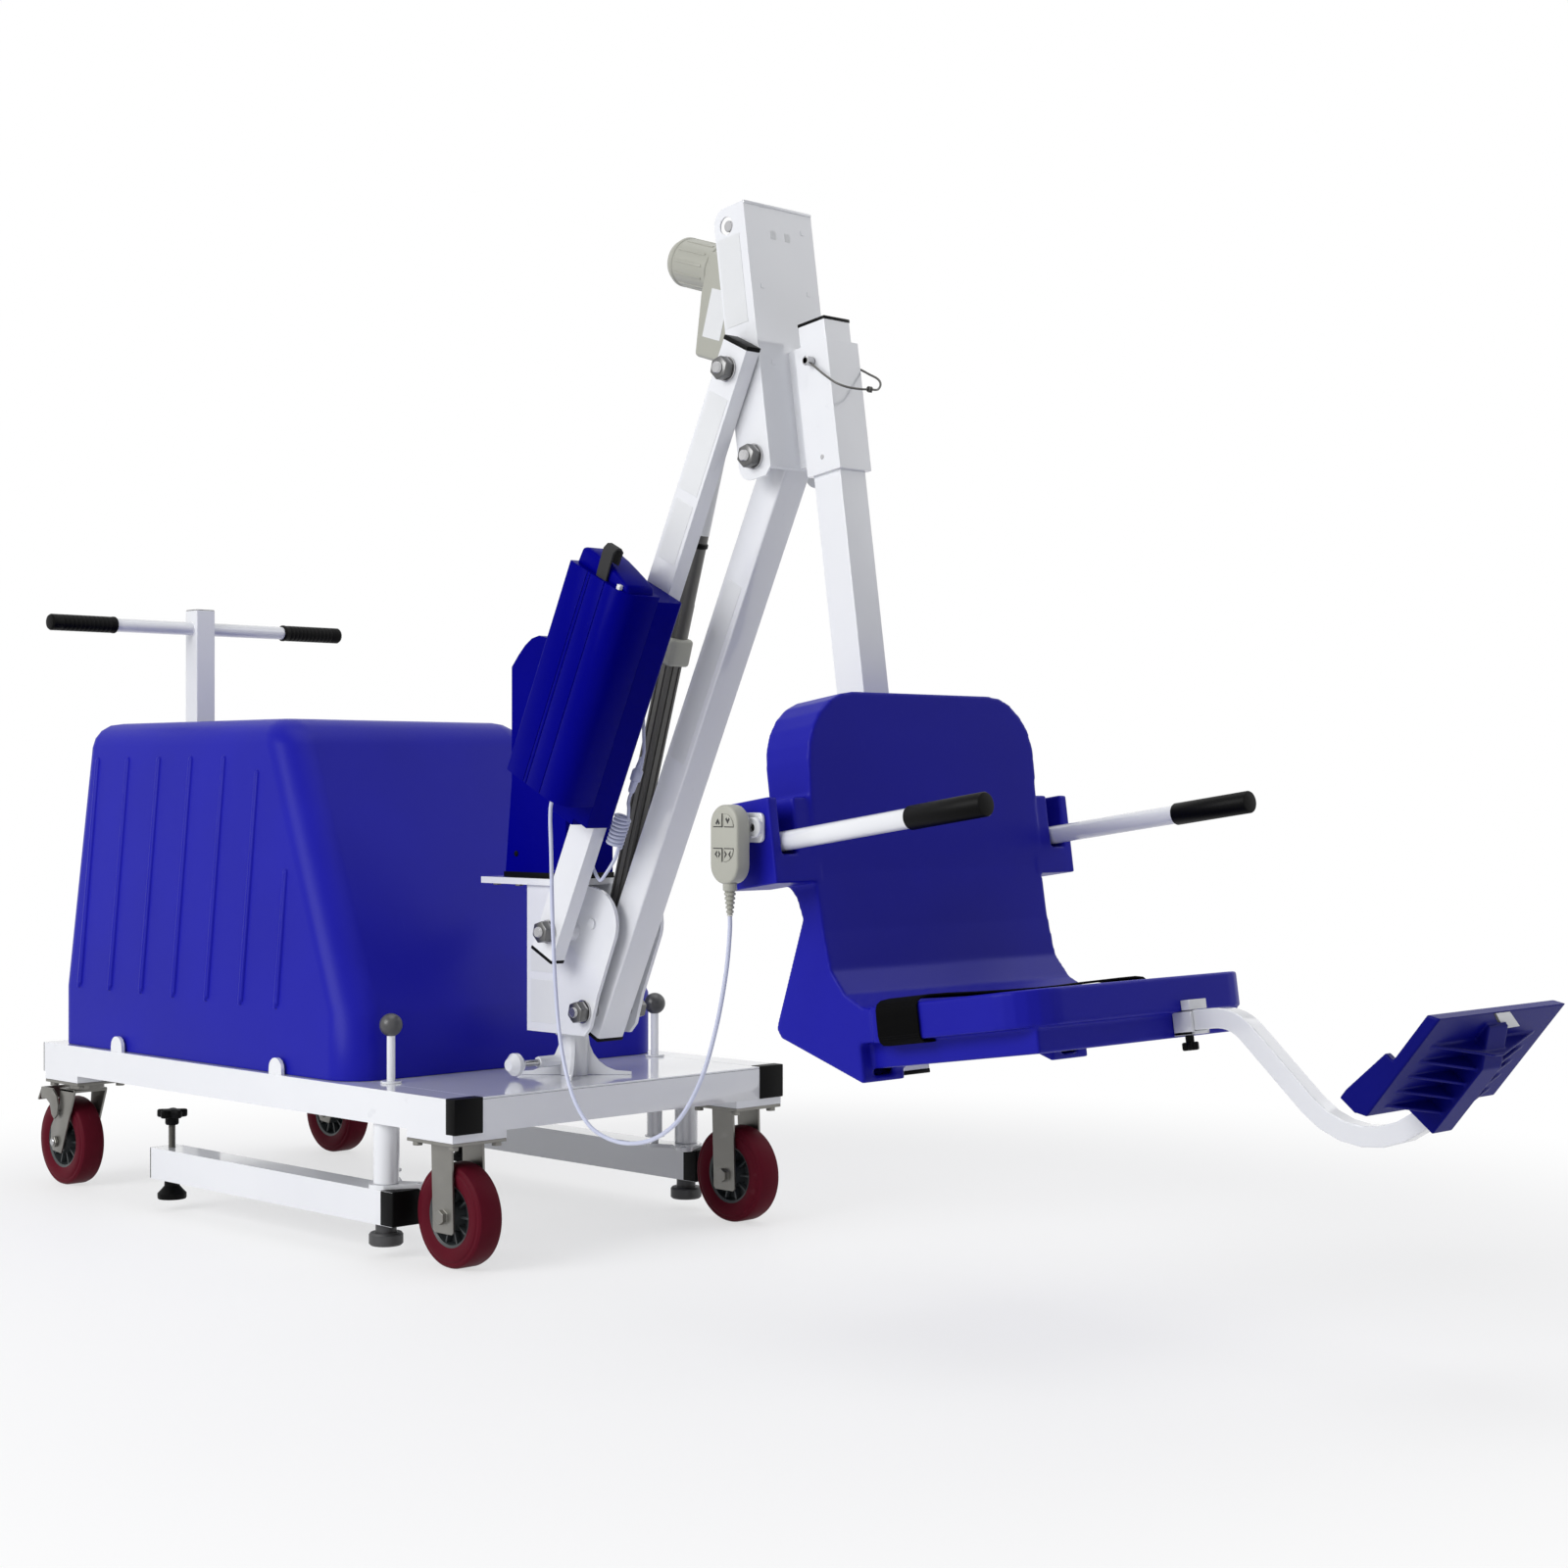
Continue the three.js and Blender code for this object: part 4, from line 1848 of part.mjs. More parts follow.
const actuatorGroup = tiltedGroup(actuatorFoot, actuatorAngle);
addPiece(actuatorGroup, 'actuator_rod', makeActuatorRod(), 'graphite');
addPiece(actuatorGroup, 'actuator_body', makeActuatorBody(), 'beige');

// Head, seat and footrest
const headGroup = tiltedGroup(armHead, headTilt);
addPiece(headGroup, 'head_bracket', makeHeadBracket(), 'white');
addPiece(headGroup, 'lock_pin', makeLockPin(), 'steel');
addPiece(headGroup, 'seat_post', makeSeatPost(), 'white');
addPiece(headGroup, 'seat_shell', makeSeatShell(), 'blue');
addPiece(headGroup, 'seat_belt', makeSeatBelt(), 'black');
addPiece(headGroup, 'footrest_receiver', makeReceiver(), 'white');
addPiece(headGroup, 'footrest_tube', makeFootrestTube(), 'white');
for (const side of sides) {
  addPiece(headGroup, `armrest_${sideNames[side]}`, makeArmrest(side), 'white');
}
const plateGroup = new THREE.Group();
const [heelU, heelW] = footplateHeel();
plateGroup.position.set(heelU, 0, heelW);
plateGroup.rotation.y = -THREE.MathUtils.degToRad(footrestRise);
headGroup.add(plateGroup);
addPiece(plateGroup, 'footplate', cut(makeFootplate(), footplatePocket()), 'blue');

// Handset and its lead
addPiece(lift, 'handset_holder', makeHolder(), 'white');
addPiece(lift, 'handset', makeHandset(), 'beige');
buttonPlaces().forEach((place, k) => {
  addPiece(lift, `button_${k + 1}`, makeButton(place), 'beige');
});
addPiece(lift, 'handset_cord', makeHandsetCord(), 'cord');

// The least gap between turns of the curly lead, measured on its centre line
let leastGap = Infinity;
for (let i = 0; i < curlPoints.length; i += 1) {
  for (let j = i + curlStepsPerTurn / 2; j < curlPoints.length; j += 1) {
    const reach = new THREE.Vector3(...curlPoints[i]).distanceTo(new THREE.Vector3(...curlPoints[j]));
    leastGap = Math.min(leastGap, reach - 2 * cableRadius);
  }
}
console.log('least gap between the lead\'s curls, mm', leastGap.toFixed(2));

// The origin goes to the middle of the footprint, on the floor, measured without the hanging lead
lift.updateMatrixWorld(true);
const box = new THREE.Box3();
lift.traverse((node) => {
  if (node.isMesh && node.name !== 'handset_cord') box.expandByObject(node, true);
});
const middle = box.getCenter(new THREE.Vector3());
const placed = new THREE.Group();
lift.position.set(-middle.x, -middle.y, -box.min.z);
placed.add(lift);
const size = box.getSize(new THREE.Vector3());
console.log('origin shift, mm', lift.position.toArray().map((value) => value.toFixed(4)).join(' '));
console.log('size, mm', size.toArray().map((value) => value.toFixed(2)).join(' '));

export default placed;
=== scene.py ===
# %% [markdown]
# # A pool patient lift, dressed
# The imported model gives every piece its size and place. This lesson gives each piece its finish,
# and makes anew the round, soft and turned pieces, which need more faces than a solid for a
# drawing has.

# %% Load the frame
import json
import math
import bpy
import bmesh
from mathutils import Matrix, Vector


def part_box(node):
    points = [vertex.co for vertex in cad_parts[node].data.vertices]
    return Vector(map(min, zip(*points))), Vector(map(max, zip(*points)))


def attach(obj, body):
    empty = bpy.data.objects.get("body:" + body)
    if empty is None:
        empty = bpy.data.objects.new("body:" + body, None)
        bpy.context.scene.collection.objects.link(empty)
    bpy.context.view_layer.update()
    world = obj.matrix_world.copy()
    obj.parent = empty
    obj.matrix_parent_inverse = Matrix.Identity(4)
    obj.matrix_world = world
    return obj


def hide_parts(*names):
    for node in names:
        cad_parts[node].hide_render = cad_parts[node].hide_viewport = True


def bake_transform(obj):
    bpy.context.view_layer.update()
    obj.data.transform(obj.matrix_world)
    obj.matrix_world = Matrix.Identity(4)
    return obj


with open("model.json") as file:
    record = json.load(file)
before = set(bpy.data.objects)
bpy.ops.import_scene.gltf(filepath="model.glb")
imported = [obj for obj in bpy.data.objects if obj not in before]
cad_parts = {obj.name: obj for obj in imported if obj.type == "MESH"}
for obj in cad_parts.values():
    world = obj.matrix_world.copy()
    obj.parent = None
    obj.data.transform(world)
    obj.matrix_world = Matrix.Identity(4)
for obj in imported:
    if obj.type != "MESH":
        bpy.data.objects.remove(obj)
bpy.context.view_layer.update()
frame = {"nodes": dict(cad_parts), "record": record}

nodes = frame["nodes"]
slot_of = {entry["node"]: entry["material_slot"] for entry in frame["record"]["subparts"]}

# %% [markdown]
# The lift was drawn in millimetres from the front of its base, so the pieces are made in those
# millimetres too. Its linkage stands at an angle, and a piece on it is easier to make lying
# straight and then turned. Each of these matrices takes one such straight place to metres.

# %% Places on the lift
MM = 0.001
SHIFT_X = -88.2104
SHIFT_Y = 6.55
LIFT_ANGLE = 64.13
HEAD_TILT = 8.3
ARM_FOOT = (-47.4, 354.7)
LINK_FOOT = (-71.9, 476.4)
ARM_HEAD = (340.498, 1154.610)
ACTUATOR_FOOT = (-27.0, 488.0)
ACTUATOR_ANGLE = 72.6629
ACTUATOR_LENGTH = 1044.395
FOOTPLATE_RISE = 42.8
FOOTPLATE_HEEL = (832.5, -957.5)
PIVOT_SPAN = 889


def straight_place(foot, degrees):
    """Millimetres in a straight frame that starts at foot and runs up at an angle, to metres."""
    move = Matrix.Translation((foot[0] + SHIFT_X, SHIFT_Y, foot[1]))
    return Matrix.Scale(MM, 4) @ move @ Matrix.Rotation(-math.radians(degrees), 4, "Y")


BASE = straight_place((0, 0), 0)
ARM = straight_place(ARM_FOOT, LIFT_ANGLE)
LINK = straight_place(LINK_FOOT, LIFT_ANGLE)
ACTUATOR = straight_place(ACTUATOR_FOOT, ACTUATOR_ANGLE)
HEAD = straight_place(ARM_HEAD, HEAD_TILT)
PLATE = HEAD @ Matrix.Translation((FOOTPLATE_HEEL[0], 0, FOOTPLATE_HEEL[1])) @ Matrix.Rotation(
    -math.radians(FOOTPLATE_RISE), 4, "Y"
)

# %% [markdown]
# A few small helpers save a lot of repeating. They put an object in the scene, move a shape, add a
# modifier or a shader node, and start a material. A node's inputs are fed by name, each from
# another node's socket or with a constant.


# %% Helpers
def put(name, data):
    """An object in the scene, at the origin."""
    thing = bpy.data.objects.new(name, data)
    bpy.context.scene.collection.objects.link(thing)
    return thing


def moved(shape, matrix):
    bmesh.ops.transform(shape, matrix=matrix, verts=shape.verts)
    return shape


def add_modifier(piece, kind, **settings):
    modifier = piece.modifiers.new(kind.lower(), kind)
    for name, value in settings.items():
        setattr(modifier, name, value)


def feed(tree, node, feeds):
    for place, value in feeds.items():
        if isinstance(value, bpy.types.NodeSocket):
            tree.links.new(value, node.inputs[place])
        else:
            node.inputs[place].default_value = value
    return node


def add_node(tree, kind, feeds=None, **settings):
    node = tree.nodes.new("ShaderNode" + kind)
    for name, value in settings.items():
        setattr(node, name, value)
    return feed(tree, node, feeds or {})


def math_node(tree, operation, *values):
    return add_node(tree, "Math", dict(enumerate(values)), operation=operation).outputs[0]


def new_material(name):
    material = bpy.data.materials.new(name)
    material.use_nodes = True
    return material, material.node_tree, material.node_tree.nodes["Principled BSDF"]


# %% [markdown]
# The camera stands where the photograph was taken from: level, a little below the height of the
# seat's back, and looking across the near front corner.

# %% Camera
SENSOR, FOCAL_PIXELS, PHOTO_PIXELS = 36, 2602, 1600
CAMERA_PLACE, CAMERA_TURN = (2.79579, -2.54545, 0.698), 45
camera_data = bpy.data.cameras.new("camera")
camera_data.sensor_width = SENSOR
camera_data.lens = SENSOR * FOCAL_PIXELS / PHOTO_PIXELS
camera = put("camera", camera_data)
camera.location = CAMERA_PLACE
camera.rotation_euler = (math.radians(90), 0, math.radians(CAMERA_TURN))
bpy.context.scene.camera = camera
print("camera lens", round(camera_data.lens, 2))

# %% [markdown]
# Light comes from a broad lamp high on the camera's left, a lamp overhead, and two weak ones on
# the right and behind. The world is white for the camera and for reflections, and grey for
# everything else, so the colours aren't washed out. The floor fades into that white, and it
# stays a little darker near the lift, where its shadow lies.


# %% Lamps, world and floor
def add_lamp(name, place, aim, size, power):
    data = bpy.data.lights.new(name, "AREA")
    data.energy = power
    data.shape = "RECTANGLE"
    data.size, data.size_y = size
    lamp = put(name, data)
    lamp.location = place
    lamp.rotation_euler = (Vector(aim) - Vector(place)).to_track_quat("-Z", "Y").to_euler()


add_lamp("key_lamp", (-0.6, -4.4, 2.6), (0, 0, 0.7), (3.0, 2.4), 150)
add_lamp("fill_lamp", (4.8, 0.8, 1.8), (0, 0, 0.7), (2.6, 2.0), 7)
add_lamp("back_lamp", (1.6, 3.6, 3.2), (-0.3, 0, 0.6), (3.2, 2.4), 28)
add_lamp("top_lamp", (0.2, 0.4, 4.4), (0, 0, 0), (3.0, 3.0), 48)


def ray_factor(tree, *kinds):
    """One for the named kinds of ray, and nought for the others."""
    path = add_node(tree, "LightPath")
    factor = path.outputs[kinds[0]]
    for kind in kinds[1:]:
        factor = math_node(tree, "MAXIMUM", factor, path.outputs[kind])
    return factor


world = bpy.data.worlds.new("studio")
bpy.context.scene.world = world
world.use_nodes = True
sky = world.node_tree
sky.nodes.clear()
soft = add_node(sky, "Background", {"Color": (0.93, 0.95, 1.0, 1), "Strength": 0.25})
plain = add_node(sky, "Background", {"Color": (1, 1, 1, 1)})
white_rays = ray_factor(sky, "Is Camera Ray", "Is Glossy Ray", "Is Transmission Ray")
sky_mix = add_node(sky, "MixShader", {0: white_rays, 1: soft.outputs[0], 2: plain.outputs[0]})
add_node(sky, "OutputWorld", {"Surface": sky_mix.outputs[0]})

FLOOR_HALF, FLOOR_DROP = 14, 0.0005
FADE_FROM, FADE_TO, FADE_LEAST = 1.1, 2.2, 0.62
floor_mesh = bpy.data.meshes.new("floor")
ground = bmesh.new()
bmesh.ops.create_grid(ground, x_segments=1, y_segments=1, size=FLOOR_HALF)
ground.to_mesh(floor_mesh)
ground.free()
floor = put("floor", floor_mesh)
floor.location.z = -FLOOR_DROP
floor_look, tree, matt = new_material("floor_white")
feed(tree, matt, {"Base Color": (0.93, 0.93, 0.94, 1), "Roughness": 0.6})
glow = add_node(tree, "Emission")
spot = add_node(tree, "TexCoord").outputs["Object"]
reach = add_node(tree, "VectorMath", {0: spot}, operation="LENGTH")
fade = add_node(tree, "MapRange", {
    "Value": reach.outputs["Value"], "From Min": FADE_FROM, "From Max": FADE_TO,
    "To Min": FADE_LEAST, "To Max": 1.0,
}, interpolation_type="SMOOTHSTEP")
seen = ray_factor(tree, "Is Camera Ray", "Is Glossy Ray")
lit = math_node(tree, "MULTIPLY", seen, fade.outputs[0])
floor_mix = add_node(tree, "MixShader", {0: lit, 1: matt.outputs[0], 2: glow.outputs[0]})
feed(tree, tree.nodes["Material Output"], {"Surface": floor_mix.outputs[0]})
floor_mesh.materials.append(floor_look)
bpy.context.scene.view_settings.view_transform = "Standard"
print("lamps", len(bpy.data.lights))

# %% [markdown]
# Real finishes are never one flat colour. Two shared groups make that unevenness. The first
# shades a colour in soft patches, varies its gloss and gives it a fine grain. The second draws
# fine scuffs. A material then chooses its own scales and strengths.


# %% Shared shader groups
def new_group(name, inputs, outputs):
    group = bpy.data.node_groups.new(name, "ShaderNodeTree")
    for label, kind, value in inputs:
        socket = group.interface.new_socket(name=label, in_out="INPUT", socket_type=kind)
        socket.default_value = value
    for label, kind in outputs:
        group.interface.new_socket(name=label, in_out="OUTPUT", socket_type=kind)
    start = group.nodes.new("NodeGroupInput")
    end = group.nodes.new("NodeGroupOutput")
    return group, start, end


def noise_node(tree, scale, detail, vector):
    feeds = {"Scale": scale, "Detail": detail, "Vector": vector}
    return add_node(tree, "TexNoise", feeds).outputs["Fac"]


FLOAT, COLOUR = "NodeSocketFloat", "NodeSocketColor"
uneven, start, end = new_group(
    "uneven_finish",
    [("Colour", COLOUR, (0.8, 0.8, 0.8, 1)), ("Shade", COLOUR, (0.6, 0.6, 0.6, 1)),
     ("Patch Scale", FLOAT, 6), ("Grain Scale", FLOAT, 700), ("Roughness", FLOAT, 0.4),
     ("Spread", FLOAT, 0.1)],
    [("Colour", COLOUR), ("Roughness", FLOAT), ("Height", FLOAT)],
)
given = start.outputs
coordinates = add_node(uneven, "TexCoord").outputs["Object"]
patches = noise_node(uneven, given["Patch Scale"], 4, coordinates)
patch_mask = math_node(uneven, "MULTIPLY_ADD", patches, 2.2, -0.75)
clamped = add_node(uneven, "Clamp", {"Value": patch_mask})
mix = add_node(uneven, "Mix", data_type="RGBA")
feed(uneven, mix, {"Factor": clamped.outputs[0], "A": given["Shade"], "B": given["Colour"]})
off_centre = math_node(uneven, "SUBTRACT", patches, 0.5)
feed(uneven, end, {
    "Colour": mix.outputs["Result"],
    "Roughness": math_node(uneven, "MULTIPLY_ADD", off_centre, given["Spread"], given["Roughness"]),
    "Height": noise_node(uneven, given["Grain Scale"], 2, coordinates),
})

scuffs, start, end = new_group(
    "fine_scuffs", [("Scale", FLOAT, 40), ("Amount", FLOAT, 0.3)], [("Mask", FLOAT)],
)
coordinates = add_node(scuffs, "TexCoord").outputs["Object"]
stretch = add_node(scuffs, "Mapping", {
    "Vector": coordinates, "Rotation": (0.4, 0.7, 0.3), "Scale": (1, 9, 1.5),
})
lines = noise_node(scuffs, start.outputs["Scale"], 5, stretch.outputs["Vector"])
where = noise_node(scuffs, 5, 2, coordinates)
thin = add_node(scuffs, "MapRange", {"Value": lines, "From Min": 0.66, "From Max": 0.72})
spots = add_node(scuffs, "MapRange", {"Value": where, "From Min": 0.5, "From Max": 0.62})
both = math_node(scuffs, "MULTIPLY", thin.outputs[0], spots.outputs[0])
feed(scuffs, end, {"Mask": math_node(scuffs, "MULTIPLY", both, start.outputs["Amount"])})
print("shader groups", [group.name for group in bpy.data.node_groups])

# %% [markdown]
# One function makes every rigid finish from those groups. Powder coat is glossy with a faint
# orange peel, the moulded plastic of the seat and the cover has a fine stipple, and the cast
# and zinc-plated steel is uneven in colour and gloss.


# %% Finishes
COAT_ROUGHNESS, SCUFF_ROUGHNESS = 0.08, 0.35


def make_finish(name, colour, shade, rough_value, **extra):
    """A rigid finish: patches between colour and shade, a fine grain and some scuffs."""
    material, tree, shader = new_material(name)
    base = add_node(tree, "Group", {
        "Colour": (*colour, 1), "Shade": (*shade, 1), "Patch Scale": extra.get("patch", 5),
        "Grain Scale": extra.get("grain", 600), "Roughness": rough_value,
        "Spread": extra.get("spread", 0.12),
    }, node_tree=uneven)
    marks = add_node(tree, "Group", {
        "Scale": 30, "Amount": extra.get("scuff", 0.15),
    }, node_tree=scuffs)
    mask = marks.outputs["Mask"]
    worn = add_node(tree, "Mix", {
        "Factor": mask, "A": base.outputs["Colour"], "B": (*extra.get("worn", shade), 1),
    }, data_type="RGBA")
    bump = add_node(tree, "Bump", {
        "Strength": extra.get("bump", 0.1), "Distance": 0.0004, "Height": base.outputs["Height"],
    })
    feed(tree, shader, {
        "Metallic": extra.get("metal", 0), "Specular IOR Level": extra.get("specular", 0.5),
        "Coat Weight": extra.get("coat", 0), "Coat Roughness": COAT_ROUGHNESS,
        "Base Color": worn.outputs["Result"], "Normal": bump.outputs["Normal"],
        "Roughness": math_node(
            tree, "MULTIPLY_ADD", mask, SCUFF_ROUGHNESS, base.outputs["Roughness"]),
    })
    return material


finishes = {
    "white_paint": make_finish(
        "white_powder_coat", (0.86, 0.87, 0.89), (0.80, 0.81, 0.84), 0.16, patch=3, grain=260,
        bump=0.05, spread=0.06, scuff=0.2, worn=(0.55, 0.56, 0.6), coat=0.7,
    ),
    "blue_plastic": make_finish(
        "blue_moulded_plastic", (0.013, 0.013, 0.38), (0.010, 0.010, 0.33), 0.36, patch=4,
        grain=900, bump=0.25, spread=0.12, scuff=0.25, worn=(0.03, 0.03, 0.42), specular=0.1,
    ),
    "navy_case": make_finish(
        "navy_case", (0.0008, 0.0008, 0.225), (0.0005, 0.0005, 0.185), 0.3, patch=5, grain=1100,
        bump=0.12, scuff=0.2, worn=(0.006, 0.006, 0.26), specular=0.02,
    ),
    "black_plastic": make_finish(
        "black_plastic", (0.003, 0.003, 0.0032), (0.0015, 0.0015, 0.0016), 0.42, grain=900,
        bump=0.3, scuff=0.3, worn=(0.015, 0.015, 0.015), specular=0.08,
    ),
    "webbing": make_finish("webbing_base", (0.012, 0.012, 0.013), (0.008, 0.008, 0.008), 0.8),
    "iron": make_finish(
        "grey_iron", (0.085, 0.085, 0.088), (0.05, 0.05, 0.052), 0.5, grain=400, bump=0.4,
        metal=0.3,
    ),
    "motor": make_finish("motor_grey", (0.12, 0.12, 0.125), (0.09, 0.09, 0.09), 0.4, metal=0.5),
    "zinc": make_finish(
        "zinc_plate", (0.27, 0.265, 0.245), (0.20, 0.195, 0.18), 0.36, patch=14, grain=500,
        bump=0.12, metal=0.85, scuff=0.4, worn=(0.42, 0.42, 0.4), spread=0.25,
    ),
    "steel": make_finish(
        "bright_steel", (0.55, 0.55, 0.56), (0.42, 0.42, 0.43), 0.24, patch=20, grain=700,
        bump=0.08, metal=1, scuff=0.4, worn=(0.7, 0.7, 0.7), spread=0.2,
    ),
    "tyre": make_finish(
        "maroon_tread", (0.115, 0.008, 0.018), (0.09, 0.006, 0.014), 0.48, patch=9, grain=700,
        bump=0.3, scuff=0.3, worn=(0.15, 0.04, 0.05), spread=0.2, specular=0.05,
    ),
    "graphite": make_finish(
        "graphite_profile", (0.115, 0.113, 0.105), (0.09, 0.088, 0.083), 0.38, metal=0.4,
        grain=900, bump=0.1,
    ),
    "beige": make_finish(
        "warm_grey_case", (0.44, 0.44, 0.385), (0.38, 0.38, 0.33), 0.42, grain=800, bump=0.2,
        scuff=0.25, worn=(0.3, 0.3, 0.27),
    ),
    "cord": make_finish(
        "pale_jacket", (0.66, 0.69, 0.84), (0.58, 0.61, 0.77), 0.34, grain=900, bump=0.1,
        patch=12,
    ),
}
label_white = make_finish(
    "blank_label", (0.78, 0.79, 0.80), (0.72, 0.73, 0.74), 0.3, grain=1200, bump=0.05, scuff=0.3,
)
dark_ball = make_finish(
    "dark_grip_ball", (0.075, 0.075, 0.078), (0.05, 0.05, 0.052), 0.33, grain=900, bump=0.15,
)
print("finishes", len(bpy.data.materials))

# %% [markdown]
# The solids that already have the right shape are kept. Their faces are loose triangles, so a
# Weld joins them, a planar Decimate takes the flat ones together, and a narrow Bevel breaks
# every sharp edge the way a real edge is broken, which is what catches the light.


# %% Kept solids
EDGE, WIDE_EDGE = 0.0009, 0.002
WELD_GAP = 0.00002
FLAT_WITHIN, SHARP_FROM = math.radians(0.6), math.radians(34)
NORMAL_WEIGHT = 80
edge_of = {
    "weight_cover": 0.0016, "motor_cover": 0.0045, "control_box": 0.0025,
    "base_frame": 0.0016, "upper_link": 0.0016, "seat_post": 0.0016, "push_handle": 0.0016,
    "head_bracket": 0.0008, "mast_body": 0.0012, "footrest_tube": 0.0016,
}
for name, piece in nodes.items():
    mesh = piece.data
    mesh.materials.clear()
    mesh.materials.append(finishes[slot_of[name]])
    mesh.polygons.foreach_set("use_smooth", [True] * len(mesh.polygons))
    width = edge_of.get(name, EDGE)
    add_modifier(piece, "WELD", merge_threshold=WELD_GAP)
    add_modifier(piece, "DECIMATE", decimate_type="DISSOLVE", angle_limit=FLAT_WITHIN)
    add_modifier(
        piece, "BEVEL", width=width, segments=3 if width > WIDE_EDGE else 2, limit_method="ANGLE",
        angle_limit=SHARP_FROM, use_clamp_overlap=True,
    )
    add_modifier(piece, "WEIGHTED_NORMAL", mode="FACE_AREA_WITH_ANGLE", weight=NORMAL_WEIGHT)
print("kept solids", len(nodes))

# %% [markdown]
# New pieces start as small shapes: a turned profile, a brick, an extruded outline or a wire.
# Each is a bmesh in straight millimetres, made by an operator and softened by a bevel, because
# nothing that is moulded, cast or folded has a perfectly sharp edge.


# %% Shapes
AXES = {
    "x": Matrix(((0, 0, 1, 0), (1, 0, 0, 0), (0, 1, 0, 0), (0, 0, 0, 1))),
    "y": Matrix(((1, 0, 0, 0), (0, 0, 1, 0), (0, 1, 0, 0), (0, 0, 0, 1))),
    "z": Matrix.Identity(4),
}


def settle(shape):
    bmesh.ops.remove_doubles(shape, verts=shape.verts, dist=0.001)
    bmesh.ops.recalc_face_normals(shape, faces=shape.faces)
    return shape


def soften(shape, edge, segments=2, limit=30):
    """Bevels every edge that turns by more than the limit."""
    if edge > 0:
        least = math.radians(limit)
        sharp = [
            one for one in shape.edges if one.is_manifold and one.calc_face_angle(0) > least
        ]
        bmesh.ops.bevel(
            shape, geom=sharp, offset=edge, offset_type="OFFSET", segments=segments, profile=0.5,
            affect="EDGES", clamp_overlap=True, material=-1,
        )
    return shape


def turned(profile, axis="z", centre=(0, 0, 0), steps=48):
    """Spins a line of (radius, place) points about an axis through centre."""
    shape = bmesh.new()
    corners = [shape.verts.new((radius, 0, place)) for radius, place in profile]
    line = [shape.edges.new(pair) for pair in zip(corners, corners[1:])]
    bmesh.ops.spin(
        shape, geom=corners + line, axis=(0, 0, 1), cent=(0, 0, 0), angle=2 * math.pi,
        steps=steps, use_merge=True,
    )
    turn = {"x": Matrix.Rotation(math.pi / 2, 4, "Y"), "y": Matrix.Rotation(-math.pi / 2, 4, "X")}
    place = Matrix.Translation(centre) @ turn.get(axis, Matrix.Identity(4))
    return settle(moved(shape, place))


def rod(radius, start, stop, axis="z", centre=(0, 0, 0), edge=0.8, steps=40):
    """A round bar with broken ends."""
    return turned(
        [(0, start), (radius - edge, start), (radius, start + edge), (radius, stop - edge),
         (radius - edge, stop), (0, stop)], axis, centre, steps,
    )


def brick(low, high, edge=1.0, segments=2):
    shape = bmesh.new()
    bmesh.ops.create_cube(shape, size=1)
    size = [b - a for a, b in zip(low, high)]
    middle = [(a + b) / 2 for a, b in zip(low, high)]
    bmesh.ops.scale(shape, vec=size, verts=shape.verts)
    bmesh.ops.translate(shape, vec=middle, verts=shape.verts)
    return soften(shape, edge, segments)


def slab(outline, start, stop, axis="y", edge=1.0, segments=2, limit=30):
    """Extrudes an outline along an axis; the outline is in the other two, in their own order."""
    shape = bmesh.new()
    face = shape.faces.new([shape.verts.new((a, b, start)) for a, b in outline])
    grown = bmesh.ops.extrude_face_region(shape, geom=[face])
    risen = [one for one in grown["geom"] if isinstance(one, bmesh.types.BMVert)]
    bmesh.ops.translate(shape, vec=(0, 0, stop - start), verts=risen)
    return soften(settle(moved(shape, AXES[axis])), edge, segments, limit)


def swept(points, radius, resolution, kind):
    """A round closed bar along points, straight between them or smooth."""
    curve = bpy.data.curves.new("swept", "CURVE")
    curve.dimensions = "3D"
    curve.bevel_depth = radius
    curve.bevel_resolution = resolution
    curve.use_fill_caps = True
    curve.resolution_u = 5
    spline = curve.splines.new(kind)
    if kind == "POLY":
        spline.points.add(len(points) - 1)
        for knot, point in zip(spline.points, points):
            knot.co = (*point, 1)
    else:
        spline.bezier_points.add(len(points) - 1)
        for knot, point in zip(spline.bezier_points, points):
            knot.co = point
            knot.handle_left_type = knot.handle_right_type = "AUTO"
    holder = bpy.data.objects.new("swept", curve)
    mesh = bpy.data.meshes.new_from_object(holder)
    shape = bmesh.new()
    shape.from_mesh(mesh)
    bpy.data.objects.remove(holder)
    bpy.data.meshes.remove(mesh)
    bpy.data.curves.remove(curve)
    return settle(shape)


def wire(points, radius, sides=12):
    """A round wire on a smooth line through points."""
    return swept(points, radius, max(0, sides // 4 - 1), "BEZIER")


def blank_label(low, high):
    """A thin label without print, with its finish."""
    return brick(low, high, 0.15, 1), label_white


def ball(radius, centre, sides=32):
    shape = bmesh.new()
    bmesh.ops.create_uvsphere(shape, u_segments=sides, v_segments=sides // 2, radius=radius)
    bmesh.ops.translate(shape, vec=centre, verts=shape.verts)
    return shape


def ring_points(radius, count, centre=(0, 0), start=0.0, sweep=360.0):
    steps = count if sweep == 360 else count - 1
    turn = [math.radians(start + sweep * k / steps) for k in range(count)]
    return [(centre[0] + radius * math.cos(a), centre[1] + radius * math.sin(a)) for a in turn]


def round_box(a, b, radius, count=5):
    """A rectangle from a = (low, high) and b = (low, high) with round corners."""
    corners = ((a[1], b[0], -90), (a[1], b[1], 0), (a[0], b[1], 90), (a[0], b[0], 180))
    outline = []
    for x, y, start in corners:
        inner_x = x - math.copysign(radius, x - sum(a) / 2)
        inner_y = y - math.copysign(radius, y - sum(b) / 2)
        outline += ring_points(radius, count, (inner_x, inner_y), start, 90)
    return outline


